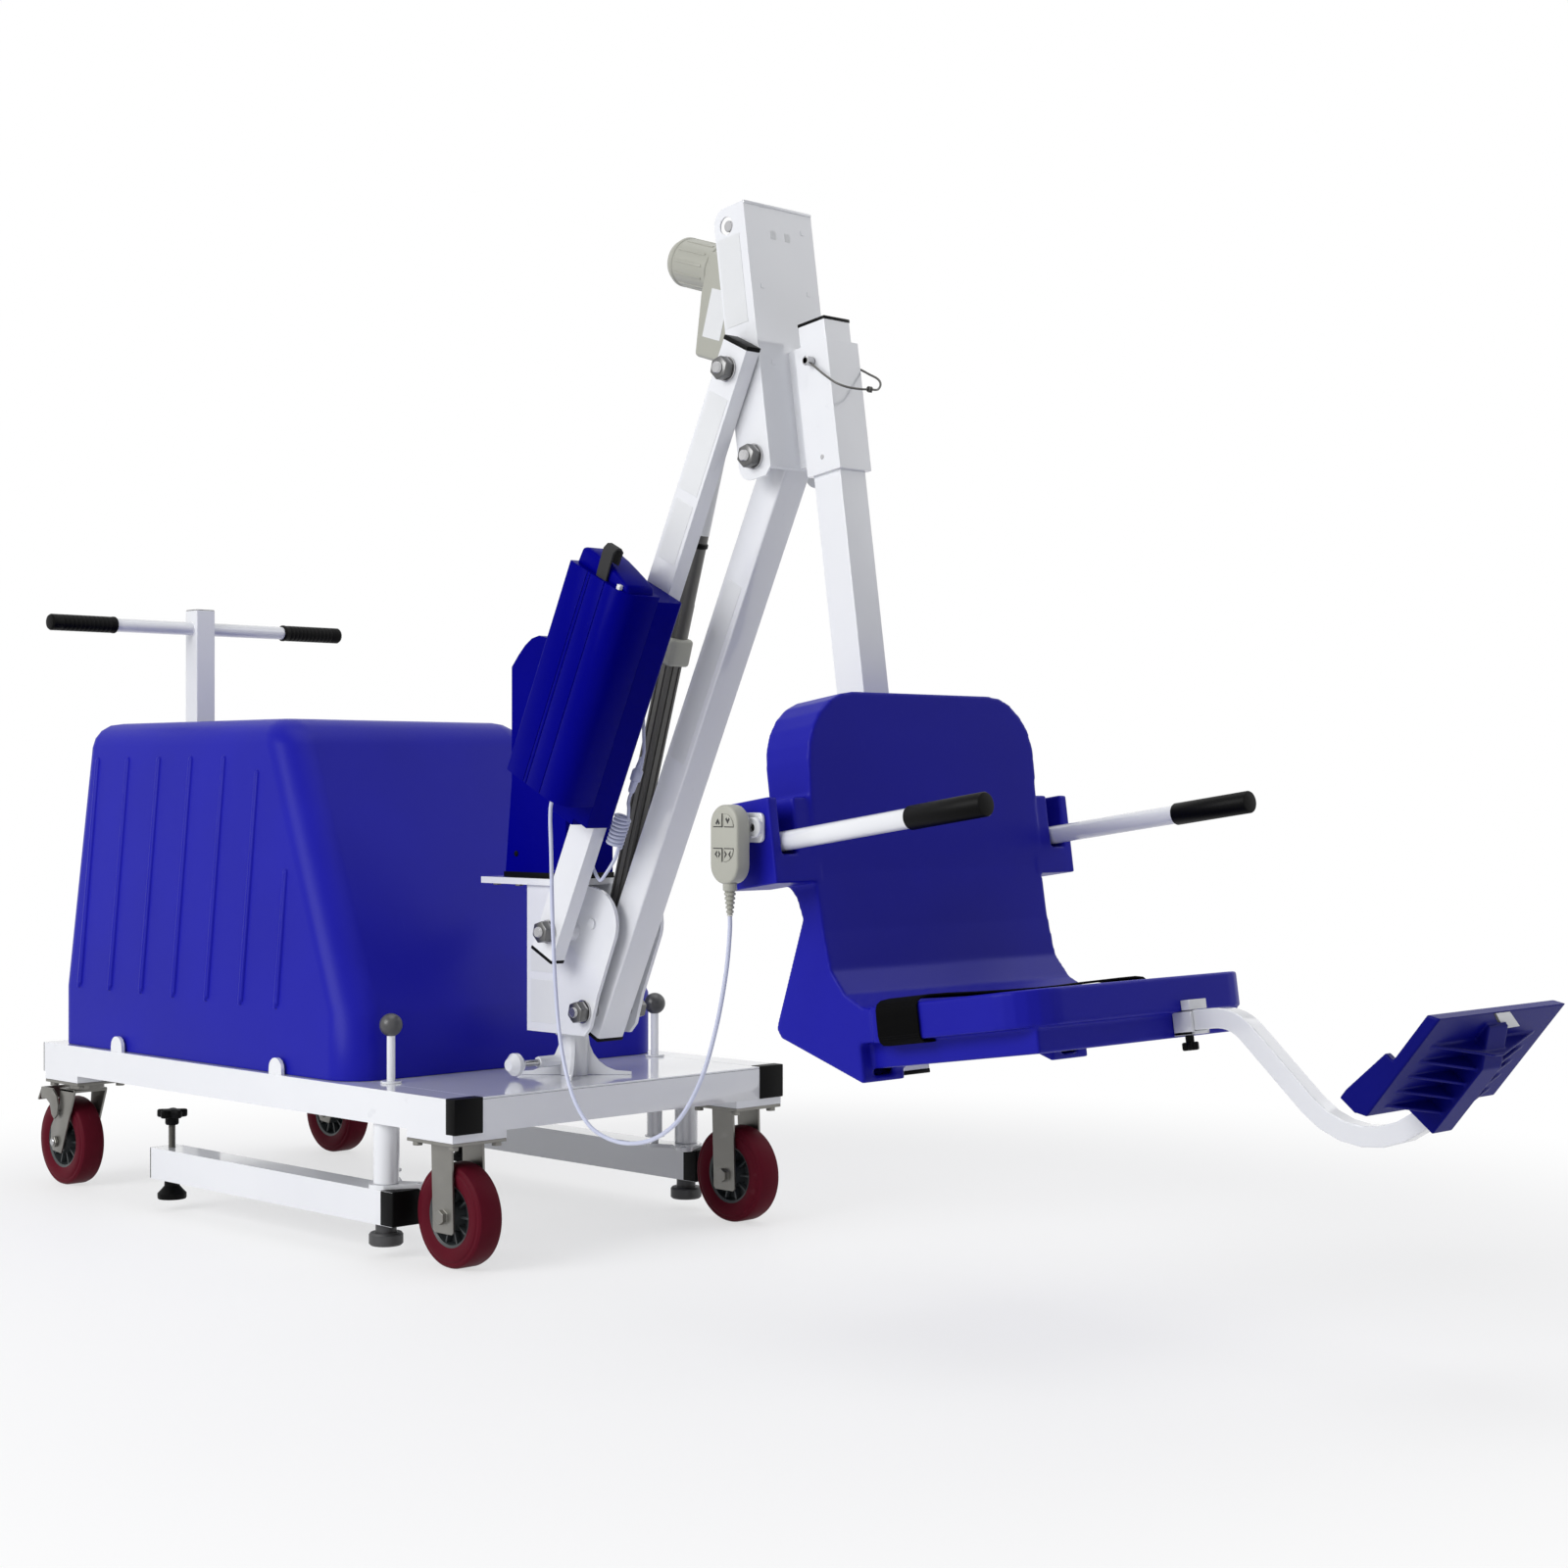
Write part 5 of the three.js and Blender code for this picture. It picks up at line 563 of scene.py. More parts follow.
def add_piece(name, body, place, parts, replaced=(), smooth=32):
    """Joins the shapes, each with its finish, into one piece that rides on a body."""
    whole = bmesh.new()
    looks = []
    for shape, look in parts:
        if look not in looks:
            looks.append(look)
        for face in shape.faces:
            face.material_index = looks.index(look)
            face.smooth = True
        part = bpy.data.meshes.new("part")
        shape.to_mesh(part)
        shape.free()
        whole.from_mesh(part)
        bpy.data.meshes.remove(part)
    mesh = bpy.data.meshes.new(name)
    moved(whole, place).to_mesh(mesh)
    whole.free()
    for look in looks:
        mesh.materials.append(look)
    mesh.set_sharp_from_angle(angle=math.radians(smooth))
    piece = put(name, mesh)
    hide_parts(*replaced)
    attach(piece, body)
    return piece


white = finishes["white_paint"]
blue = finishes["blue_plastic"]
navy = finishes["navy_case"]
black = finishes["black_plastic"]
zinc = finishes["zinc"]
steel = finishes["steel"]
beige = finishes["beige"]
graphite = finishes["graphite"]

# %% [markdown]
# The handset's lead leaves the battery's foot, hangs in a deep loop and climbs to the handset.
# Both its ends go into the lift, so its whole length is on show.


# %% Handset lead
def smooth_line(points, per_span=8):
    """A Catmull-Rom line through points, spaced closely enough to measure."""
    padded = [2 * points[0] - points[1]] + points + [2 * points[-1] - points[-2]]
    line = []
    for k in range(1, len(padded) - 2):
        p0, p1, p2, p3 = padded[k - 1:k + 3]
        for step in range(per_span):
            t = step / per_span
            line.append(0.5 * (
                2 * p1 + (p2 - p0) * t + (2 * p0 - 5 * p1 + 4 * p2 - p3) * t * t
                + (3 * p1 - p0 - 3 * p2 + p3) * t * t * t
            ))
    return line + [points[-1]]


def tube_along(name, line, radius, look, sides=10):
    """A round tube through every point of a line, with closed ends."""
    tube = swept(line, radius, sides // 2 - 2, "POLY")
    for face in tube.faces:
        face.smooth = True
    mesh = bpy.data.meshes.new(name)
    tube.to_mesh(mesh)
    tube.free()
    mesh.materials.append(look)
    piece = put(name, mesh)
    return piece


def length_of(line):
    return sum((b - a).length for a, b in zip(line, line[1:]))


lead_route = [
    (63, -200, 677.4), (59.6, -200, 670.2), (57.8, -200, 660), (57.4, -200, 640),
    (60, -200.5, 600), (66, -202, 480), (84, -206.5, 350), (120, -215.7, 268),
    (170, -228.3, 226), (230, -243.5, 211), (300, -261.2, 212), (370, -278.9, 228),
    (436, -295.6, 262), (492, -309.8, 320), (530, -319.4, 390), (554, -325.5, 460),
    (563, -327.8, 510), (564, -328.3, 531.5),
]
LEAD_RADIUS = 2.9
lead_line = smooth_line([BASE @ Vector(point) for point in lead_route])
lead = tube_along("handset_lead", lead_line, LEAD_RADIUS * MM, finishes["cord"], 12)
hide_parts("handset_cord")
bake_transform(lead)
print("handset lead, m", round(length_of(lead_line), 3))

# %% [markdown]
# The actuator's lead is curly, so that it can stretch as the arm rises. It comes out of the
# link, makes eight close curls, runs through a plug and hooks into the actuator's collar.

# %% The curly lead
CURL_TURNS = 8
CURL_STEPS = 16
CURL_RADIUS = 11
CURL_PITCH = 6.1
CURL_FROM = 165
CURL_WIRE = 2.6
LEAD_Y = -61.4
CURL_AXIS = -41.3
curl_route = [(120, -70.3, -12.7), (120, -65.1, -12.7), (112, LEAD_Y, -16.9),
              (104, LEAD_Y, -35.8), (120, LEAD_Y, -43.8), (149, LEAD_Y, CURL_AXIS - CURL_RADIUS)]
for k in range(CURL_TURNS * CURL_STEPS + 1):
    angle = -math.pi / 2 + 2 * math.pi * k / CURL_STEPS
    curl_route.append((
        CURL_FROM + CURL_PITCH * k / CURL_STEPS,
        LEAD_Y + CURL_RADIUS * math.cos(angle),
        CURL_AXIS + CURL_RADIUS * math.sin(angle),
    ))
curl_end = CURL_FROM + CURL_TURNS * CURL_PITCH
PLUG_LENGTH = 58
plug_from = curl_end + 2 * PLUG_LENGTH / 3
collar = LINK.inverted() @ (ACTUATOR @ Vector((427, 0, 0)))
curl_route += [
    (curl_end + 16, LEAD_Y, CURL_AXIS - 5.5), (plug_from - 8, LEAD_Y, CURL_AXIS),
    (plug_from + PLUG_LENGTH + 8, LEAD_Y, CURL_AXIS), (collar.x - 16, LEAD_Y, collar.z),
    (collar.x, LEAD_Y + 8, collar.z), (collar.x, -22.3, collar.z),
]
curl_line = smooth_line([LINK @ Vector(point) for point in curl_route], 3)
curly = tube_along("actuator_lead", curl_line, CURL_WIRE * MM, finishes["cord"], 8)
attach(curly, "upper_link")
plug_profile = [
    (0, 0), (4, 0), (5.2, 3), (5.6, 18), (8, 20), (8.2, 34), (7.6, 36), (5.6, 38), (5, 40),
    (5.6, 42), (4.6, 44), (5.2, 46), (4.2, 48), (4.6, 50), (3.4, 56), (0, PLUG_LENGTH),
]
plug_line = [(radius, plug_from + along) for radius, along in plug_profile]
plug = add_piece("actuator_lead_plug", "upper_link", LINK, [
    (turned(plug_line, "x", (0, LEAD_Y, CURL_AXIS), 24), finishes["cord"]),
])
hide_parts("actuator_cable")
print("curly lead, m", round(length_of(curl_line), 3))

# %% [markdown]
# A caster wheel has a thick maroon tread with a step in its side, around a dark core with
# ribs. The fork is cut away around it, so the core shows from both sides.


# %% Wheels
core_grey = make_finish(
    "caster_core", (0.045, 0.052, 0.055), (0.03, 0.035, 0.037), 0.4, grain=900, bump=0.2,
)
AXLE_HEIGHT, WHEEL_Y = 76, 279
FRONT_AXLE, REAR_AXLE = -52, -1149
CORE_RIBS = 10


def both_faces(half):
    """A closed profile from the half on one side of a wheel."""
    return half + [(radius, -place) for radius, place in half[::-1]] + half[:1]


tread = both_faces([
    (46, -19), (52, -22.2), (64, -23), (66, -22.2), (67, -21.2), (71, -21), (74.4, -18.6),
    (76, -14),
])
core = both_faces([
    (7, -25.6), (16, -25.6), (20, -23), (22, -12), (24, -5), (40, -5), (42, -17), (46.5, -19),
])


def add_wheel(name, body, x, y):
    parts = [
        (turned(tread, "y", (x, y, AXLE_HEIGHT), 72), finishes["tyre"]),
        (turned(core, "y", (x, y, AXLE_HEIGHT), 48), core_grey),
    ]
    for k in range(CORE_RIBS):
        turn = Matrix.Rotation(2 * math.pi * k / CORE_RIBS, 4, "Y")
        place = Matrix.Translation((x, y, AXLE_HEIGHT)) @ turn
        parts.append((moved(brick((20, -15, -1.6), (43, 15, 1.6), 0.6), place), core_grey))
    add_piece(name, body, BASE, parts, [body])


sides = (("near", -1), ("far", 1))
for label, side in sides:
    add_wheel(f"front_caster_wheel_{label}", f"front_wheel_{label}", FRONT_AXLE, WHEEL_Y * side)
    add_wheel(f"rear_caster_wheel_{label}", f"rear_wheel_{label}", REAR_AXLE, WHEEL_Y * side)
print("wheels", 2 * len(sides))

# %% [markdown]
# Bolts hold the whole linkage: a hexagon nut with a washer and a short end of thread on each
# side. One helper draws them, whichever face they stand on.


# %% Bolts
BOLT_RADIUS, THREAD_PITCH = 9.5, 1.5
LINK_OUTER = -96.0


def nut_stack(x, z, face, outward, size=17, height=15, thread=8):
    """A washer, a hexagon nut and the end of a thread that stand out of a face along Y."""
    def along(start, stop):
        return sorted((face + outward * start, face + outward * stop))

    washer = along(0.3, 3)
    nut = along(3, 3 + height)
    end = along(2 + height, 8 + height)
    parts = [
        (rod(size + 1, *washer, "y", (x, 0, z), 0.6), steel),
        (slab(ring_points(size, 6, (x, z), 12), *nut, "y", 1.6, 2), dark_steel),
    ]
    profile = [(0, end[0])]
    for k in range(int((end[1] - end[0]) / THREAD_PITCH)):
        root = end[0] + THREAD_PITCH * k
        profile += [(thread - 0.8, root), (thread, root + THREAD_PITCH / 2)]
    profile += [(thread - 1.5, end[1]), (0, end[1])]
    parts.append((turned(profile, "y", (x, 0, z), 24), steel))
    return parts


def small_bolt(x, y, z, down, size=7, height=5):
    """A hexagon head on a horizontal face."""
    span = sorted((z, z + height * down))
    return (slab(ring_points(size, 6, (x, y), 20), *span, "z", 0.8), zinc)


dark_steel = make_finish(
    "dark_steel", (0.2, 0.2, 0.2), (0.12, 0.12, 0.12), 0.3, patch=25, grain=600, bump=0.1, metal=0.9,
    scuff=0.4, worn=(0.4, 0.4, 0.4),
)
for name, body, place, inner in (("lower", "mast", 0, -44), ("upper", "head", PIVOT_SPAN, -65)):
    add_piece(f"link_nut_{name}", body, LINK, [
        *nut_stack(place, 0, LINK_OUTER, -1),
        (rod(BOLT_RADIUS, LINK_OUTER - 3, inner, "y", (place, 0, 0)), steel),
    ], [f"link_bolt_{name}"])

# %% [markdown]
# The lower arm is a square tube with a round head, and its two pivot bolts pass through the
# mast and the head. The tube is white, and the bolts are bare steel.

# %% Lower arm
TUBE_HALF = 25.4
arm_outline = [
    (-38, -TUBE_HALF), *ring_points(TUBE_HALF, 13, (PIVOT_SPAN, 0), -90, 180), (-38, TUBE_HALF),
]
add_piece("arm_tube", "lower_arm", ARM, [
    (slab(arm_outline, -TUBE_HALF, TUBE_HALF, "y", 3, 3), white),
    (rod(BOLT_RADIUS, -50, 50, "y"), steel),
    (rod(BOLT_RADIUS, -69, 69, "y", (PIVOT_SPAN, 0, 0)), steel),
    *nut_stack(0, 0, -48, -1), *nut_stack(0, 0, 48, 1),
    *nut_stack(PIVOT_SPAN, 0, -67.6, -1), *nut_stack(PIVOT_SPAN, 0, 67.6, 1),
    (brick((-40.5, -25.9, -25.9), (-34, 25.9, 25.9), 1.5), black),
], ["lower_arm"])

# %% [markdown]
# Two rods with dark balls lock the outriggers. They are lifted to let an outrigger swing, so
# their tops stand well clear of the deck. The post that an outrigger swings on is turned white
# steel over an iron foot, and a black cap closes the outrigger's end.


# %% Lock rods, outrigger posts and caps
def upright(profile, x, y, steps=48):
    return turned(profile, "z", (x, y, 0), steps)


RAIL_Y, POST_X = 302, -198
LOCK_X, LOCK_Y, BALL_HEIGHT = -235, 266, 337
post = [
    (0, 50.7), (12.7, 50.7), (12.7, 108.1), (18.2, 108.1), (19, 109), (19, 197.6), (18, 198.8),
    (0, 198.8),
]
post_foot = [
    (0, 17), (22.6, 17), (25.35, 19.6), (25.35, 33), (23, 36), (15.5, 36), (15.5, 50.7), (0, 50.7),
]
for label, side in sides:
    y = LOCK_Y * side
    add_piece(f"lock_rod_and_ball_{label}", f"lock_rod_{label}", BASE, [
        (rod(6.35, 108.1, 330, "z", (LOCK_X, y, 0)), white),
        (ball(17.5, (LOCK_X, y, BALL_HEIGHT)), dark_ball),
    ], [f"lock_rod_{label}"])
    y = RAIL_Y * side
    add_piece(f"outrigger_leg_{label}", "base", BASE, [
        (upright(post, POST_X, y), white),
        (upright(post_foot, POST_X, y), finishes["iron"]),
    ], [f"outrigger_post_{label}"])
    add_piece(f"outrigger_cap_{label}", f"outrigger_{label}", BASE, [
        (brick((POST_X + 20, y - 25.9, 50.5), (POST_X + 50.6, y + 25.9, 102.4), 2.2, 3), black),
    ])

# %% [markdown]
# A levelling screw has a five-lobed hand knob, a thread and a broad foot. The lobes come from
# the outline, and the bevel rounds them over.


# %% Levelling screws
def star(reach, lobes, depth, steps, x, y):
    """The outline of a star knob with soft lobes."""
    outline = []
    for k in range(steps):
        angle = 2 * math.pi * k / steps
        radius = reach * (1 - depth + depth * math.cos(lobes * angle))
        outline.append((x + radius * math.cos(angle), y + radius * math.sin(angle)))
    return outline


LEVELLER_X = -787
knob_stem = [(0, 139), (9.5, 139), (11, 141), (11, 149), (13, 152), (0, 152)]
thread = [(0, 50.7)]
for k in range(44):
    thread += [(5.0, 51 + 2 * k), (6.0, 52 + 2 * k)]
thread += [(5, 139.5), (0, 139.5)]
screw_foot = [
    (0, 18), (22.5, 18), (23.5, 20), (23.5, 27), (21, 29.5), (12.5, 39), (12, 50.7), (0, 50.7),
]
for label, side in sides:
    y = RAIL_Y * side
    add_piece(f"levelling_knob_{label}", f"leveller_{label}", BASE, [
        (slab(star(25.5, 5, 0.2, 60, LEVELLER_X, y), 151, 164, "z", 3, 3, 50), black),
        (upright(knob_stem, LEVELLER_X, y, 32), black),
        (upright(thread, LEVELLER_X, y, 24), zinc),
        (upright(screw_foot, LEVELLER_X, y), black),
    ], [f"levelling_screw_{label}"])

# %% [markdown]
# The push handle's grips are rubber sleeves with a rounded end and a few shallow rings.

# %% Handle grips
SLEEVE_FROM, SLEEVE_TO = 176, 305
HANDLE_BAR = (-1183, 0, 982)
sleeve = [(12.4, 0), (14.2, 0), (15, 1.5), (15, 5), (14.2, 6.5)]
for k in range(12):
    sleeve += [(14.5, 12 + 8.5 * k), (14.1, 13 + 8.5 * k), (14.5, 14 + 8.5 * k)]
length = SLEEVE_TO - SLEEVE_FROM
sleeve += [(14.5, length - 4), (12.5, length - 1), (8, length), (0, length)]
for label, side in sides:
    profile = [(radius, side * (SLEEVE_FROM + place)) for radius, place in sleeve]
    add_piece(f"grip_sleeve_{label}", "handle", BASE, [
        (turned(profile, "y", HANDLE_BAR, 40), black),
    ], [f"handle_grip_{label}"])

# %% [markdown]
# The battery is a navy case with one broad round edge, three seams down its face, a raised lid
# and a black webbing strap. The seams are real grooves in the outline.

# %% Battery
BATTERY_FOOT, BATTERY_TOP = 240, 568
FACE, BACK = -215.0, -147.3
seam_line = [(0, 0), (1.6, 0.1), (1.6, 1.1), (0, 1.2)]
outline = [(BACK, -64), (BACK, 64), *ring_points(3, 4, (FACE + 3, 61), 90, 90)]
for seam in (22, 15, -18):
    outline += [(FACE + deep, seam - down) for deep, down in seam_line]
outline += ring_points(30, 9, (FACE + 30, -34), 180, 90)
lid_line = [
    (-0.1, -0.94), (0.35, -0.86), (0.56, -0.55), (0.74, -0.2), (0.9, 0.15), (0.98, 0.45), (1, 0.7),
    (0.86, 0.9), (-0.1, 0.94),
]
lid = [(BATTERY_TOP + rise * 27, across * 64) for rise, across in lid_line]
strap_line = [(-3, 2), (20, 0.5), (42, 0), (49, 5), (49.6, 13), (44, 19), (24, 18)]
strap = [(BATTERY_TOP + along, FACE + 3.5 + deep) for along, deep in strap_line]
strap_inner = []
for along, deep in strap:
    back = 3.4 if along > BATTERY_TOP + 40 else 0
    inward = 3.0 if deep < FACE + 8 else -3.0 if deep > FACE + 18 else 0
    strap_inner.append((along - back, deep + inward))
add_piece("battery_case", "battery", LINK, [
    (slab(outline, BATTERY_FOOT, BATTERY_TOP, "x", 1.2, 2, 40), navy),
    (slab(lid, FACE + 10, BACK - 6, "y", 5, 3, 35), navy),
    (slab(strap + strap_inner[::-1], -14.5, 8.5, "z", 0.5, 1), finishes["webbing"]),
    (brick((565, FACE + 4, -47), (575, FACE + 16, -40), 1.2), label_white),
], ["battery_pack"])
print("battery outline points", len(outline))

# %% [markdown]
# The motor's cover sits on a black foot band, and a black screw holds it on each side. The mast
# carries two blank labels, and bolts hold its shelf and the casters' plates.

# %% Motor cover trim, mast labels and bolts
add_piece("motor_cover_band", "mast", BASE, [
    (brick((-237.2, -49.2, 553.4), (-87.8, 49.2, 562), 0.8), black),
    (rod(4.5, -50.2, 50.2, "y", (-207, 0, 590), 1.2), black),
])
SHELF_UNDER, CASTER_UNDER, CASTER_Y = 545, 181.6, 279.5
mast_bolts = ((-262, -42), (-262, 42), (-205, -44), (-205, 44))
add_piece("mast_labels", "mast", BASE, [
    blank_label((-172, -48.5, 410), (-112, -47.9, 446)),
    blank_label((-172, -48.5, 332), (-112, -47.9, 398)),
    *[small_bolt(x, y, SHELF_UNDER, -1) for x, y in mast_bolts],
])
add_piece("caster_bolts", "base", BASE, [
    small_bolt(x, side * (CASTER_Y + across), CASTER_UNDER, -1, 8, 6)
    for middle in (-58, -1098)
    for label, side in sides
    for x in (middle - 42, middle + 42)
    for across in (-40, 38)
])

# %% [markdown]
# The actuator is a grooved grey extrusion that runs into a collar, a smooth tube, a black ring
# and a gear case under a domed motor. The grooves are in the extruded outline.

# %% Actuator
grooved_side = [
    (-12, -12.6), (-8, -13), (-7.4, -11.4), (-4.6, -11.4), (-4, -13), (4, -13), (4.6, -11.4),
    (7.4, -11.4), (8, -13), (12, -12.6),
]
grooved = []
for k in range(4):
    turn = Matrix.Rotation(math.pi / 2 * k, 2)
    grooved += [tuple(turn @ Vector(point)) for point in grooved_side]
add_piece("actuator_profile", "actuator_rod", ACTUATOR, [
    (slab(grooved, 14, 500, "x", 0), graphite),
    (rod(13, -13, 13, "y"), white), (brick((0, -12, -12), (30, 12, 12), 3), graphite),
], ["actuator_rod"], 25)
TUBE_END = ACTUATOR_LENGTH - 40
case_outline = [
    (TUBE_END - 150, -20), (TUBE_END, -20), (TUBE_END, 62), (TUBE_END - 60, 62), (TUBE_END - 150, 48),
]
drum_x = ACTUATOR_LENGTH - 64
drum = [
    (0, 27), (35, 27), (35, 60), (36.4, 61.5), (36.4, 67), (35, 68.5), (35, 134), (36.2, 135.5),
    (36.2, 140), (34.5, 142), (31.5, 149), (24.7, 154.5), (12, 157.6), (0, 158),
]
FIN_COUNT = 12
parts = [
    (brick((406, -20.5, -20.5), (448, 20.5, 20.5), 6, 4), beige),
    (rod(17, 446, 586, "x"), graphite),
    (rod(19, 584, 592, "x", edge=1.5), black),
    (rod(17, 590, TUBE_END + 2, "x"), graphite),
    (rod(17.4, 604, 790, "x", edge=0.2), label_white),
    (slab(case_outline, -35, 35, "y", 6, 4), beige),
    (turned(drum, "z", (drum_x, 0, 0), 56), beige),
    (rod(13, TUBE_END, ACTUATOR_LENGTH, "x"), beige),
    (rod(13, -13, 13, "y", (ACTUATOR_LENGTH, 0, 0)), beige),
    (rod(8, -64.3, 64.3, "y", (ACTUATOR_LENGTH, 0, 0)), steel),
    blank_label((TUBE_END - 120, -35.5, 0), (TUBE_END - 50, -34.9, 38)),
]
for k in range(FIN_COUNT):
    turn = Matrix.Translation((drum_x, 0, 0)) @ Matrix.Rotation(2 * math.pi * k / FIN_COUNT, 4, "Z")
    parts.append((moved(brick((34, -2, 72), (36, 2, 130), 0.8), turn), beige))
add_piece("actuator_case", "actuator_body", ACTUATOR, parts, ["actuator_body"])

# %% [markdown]
# The upper link's ends are closed by black caps, and pale labels without print lie where the
# real lift carries its instructions.

# %% Link caps and labels
add_piece("link_caps", "upper_link", LINK, [
    (brick((924, -96.6, -26), (931, -70.2, 26), 1.4), black),
    (brick((-42, -96.6, -26), (-36, -70.2, 26), 1.4), black),
])
add_piece("link_labels", "upper_link", LINK, [
    blank_label((600, -96.5, -19), (690, -95.9, 19)),
    blank_label((705, -96.5, -20), (850, -95.9, 20)),
])
add_piece("arm_label", "lower_arm", ARM, [
    blank_label((420, -25.9, -16), (700, -25.3, 16)),
])

# %% [markdown]
# The head is a folded channel. Small pale windows, square nibs and a blank label break up its
# faces, and black caps close the seat post. A wire bail with a small spring holds the lock pin.

# %% Head details and lock pin
details = [blank_label((29.9, y - 5, 312), (30.4, y + 5, 324)) for y in (-14, 14)]
details += [
    (brick((29.9, y - 3.5, w - 3.5), (30.7, y + 3.5, w + 3.5), 0.2, 1), white)
    for y, w in ((-46, 240), (46, 240), (-40, 130), (46, 330))
]
details += [
    blank_label((-28, -68.1, 190), (16, -67.5, 318)),
    (rod(11, 29.8, 30.5, "x", (0, 36, 38.6), 0.2), white),
    (brick((28, -67.6, 357), (31.4, 67.6, 361.6), 1), white),
    (brick((69.2, -25.9, 170), (121.6, 25.9, 175.2), 1.2), black),
    (brick((69.4, -25.7, -873), (121.4, 25.7, -867), 1.2), black),
    (rod(4, -31.9, 31.9, "y", (95.4, 0, -20), 1), steel),
]
add_piece("head_details", "head", HEAD, details)
BAIL_NEAR, BAIL_FAR = -38.4, 34.9
BAIL_TIP = (168, 0, 60)
PIN = (95.4, 0, 115)
bail_line = [
    (95.4, BAIL_NEAR, 115), (106, BAIL_NEAR, 104), (126, BAIL_NEAR, 85), (150, BAIL_NEAR, 67),
    (158, -26, 62), BAIL_TIP, (162, 26, 66), (157, BAIL_FAR, 78), (136, BAIL_FAR, 95),
    (116, BAIL_FAR, 109),
]
spring_line = [
    (BAIL_TIP[0] + 3.4 * math.sin(turn), -4 + turn * 0.4, BAIL_TIP[2] - 3.4 * math.cos(turn))
    for turn in [math.pi * step / 6 for step in range(37)]
]
add_piece("lock_pin_and_bail", "lock_pin", HEAD, [
    (rod(5, -45.4, 38, "y", PIN), steel),
    (rod(6.5, -45.4, -31.8, "y", PIN, 1.2), steel),
    (wire(bail_line, 1.6), graphite),
    (wire(spring_line, 0.9, 8), graphite),
], ["lock_pin"])

# %% [markdown]
# The armrests are white tubes that hinge in the seat's side pockets, with a black rubber grip on
# the end. The grip is a little wider than its tube and has a soft rim.

# %% Armrests
ARM_Y, ARM_W, ARM_HINGE = 268, -561, 152
GRIP_FROM, GRIP_TO = 399, 520
rest_tube = [
    (0, ARM_HINGE - 12.6), (8, ARM_HINGE - 10), (11.8, ARM_HINGE - 5), (12.7, ARM_HINGE),
    (12.7, GRIP_FROM + 4), (0, GRIP_FROM + 4),
]
rest_grip = [
    (12.8, GRIP_FROM), (14.4, GRIP_FROM), (15, GRIP_FROM + 1.2), (15, GRIP_TO - 2),
    (14.2, GRIP_TO - 0.6), (12.6, GRIP_TO), (0, GRIP_TO), (0, GRIP_FROM + 6),
    (12.8, GRIP_FROM + 6), (12.8, GRIP_FROM),
]
for label, side in sides:
    y = ARM_Y * side
    add_piece(f"armrest_tube_{label}", f"armrest_{label}", HEAD, [
        (turned(rest_tube, "x", (0, y, ARM_W), 40), white),
        (turned(rest_grip, "x", (0, y, ARM_W), 40), black),
        (rod(5, y - 20, y + 20, "y", (ARM_HINGE, 0, ARM_W)), steel),
    ], [f"armrest_{label}"])

# %% [markdown]
# The seat belt is one flat strap. It lies across the pan with a little slack, turns over both
# edges and ends under the pan. Its outline runs in the strap's own thickness, and the weave is two
# fine wave patterns in the material.


# %% Woven strap
def thick_line(points, half):
    """A closed outline around a line of points, the same distance on both sides."""
    first, second = [], []
    for k, (a, b) in enumerate(points):
        before, after = points[max(0, k - 1)], points[min(len(points) - 1, k + 1)]
        run = Vector((after[0] - before[0], after[1] - before[1])).normalized()
        first.append((a - run.y * half, b + run.x * half))
        second.append((a + run.y * half, b - run.x * half))
    return first + second[::-1]


woven, start, end = new_group(
    "fine_weave",
    [("Scale", FLOAT, 900), ("Dark", COLOUR, (0, 0, 0, 1)), ("Pale", COLOUR, (0, 0, 0, 1))],
    [("Colour", COLOUR), ("Height", FLOAT)],
)
given = start.outputs
coordinates = add_node(woven, "TexCoord").outputs["Object"]
wave_feeds = {"Distortion": 0.6, "Vector": coordinates, "Scale": given["Scale"]}
waves = [
    add_node(woven, "TexWave", wave_feeds, bands_direction=direction).outputs["Fac"]
    for direction in ("X", "Y")
]
crossing = math_node(woven, "MULTIPLY", *waves)
shade = add_node(woven, "Mix", {
    "Factor": crossing, "A": given["Dark"], "B": given["Pale"],
}, data_type="RGBA")
feed(woven, end, {"Colour": shade.outputs["Result"], "Height": crossing})

strap_look, tree, shader = new_material("black_woven_strap")
weave = add_node(tree, "Group", {
    "Scale": 420, "Dark": (0.0008, 0.0008, 0.0009, 1), "Pale": (0.005, 0.005, 0.0055, 1),
}, node_tree=woven)
bump = add_node(tree, "Bump", {
    "Strength": 0.5, "Distance": 0.0006, "Height": weave.outputs["Height"],
})
feed(tree, shader, {
    "Roughness": 0.75, "Specular IOR Level": 0.05, "Base Color": weave.outputs["Colour"],
    "Normal": bump.outputs["Normal"],
})

BELT_U = (276, 345)
belt_half = [
    (0, -777.2), (60, -776.8), (120, -775.6), (175, -774), (208, -773.8), (224, -775.6), (231, -779.5),
    (234, -786), (234.2, -800), (234.2, -818), (232.4, -825), (227, -829.3), (215, -830.2), (196, -829.6),
]
belt_line = [(-y, w) for y, w in belt_half[:0:-1]] + belt_half
add_piece("black_seat_belt", "head", HEAD, [
    (slab(thick_line(belt_line, 1.3), *BELT_U, "x", 0.5, 1, 60), strap_look),
], ["seat_belt"], 40)

# %% [markdown]
# The footrest's tube slides in a small pale socket at the front of the pan. A star knob under it
# clamps the tube.

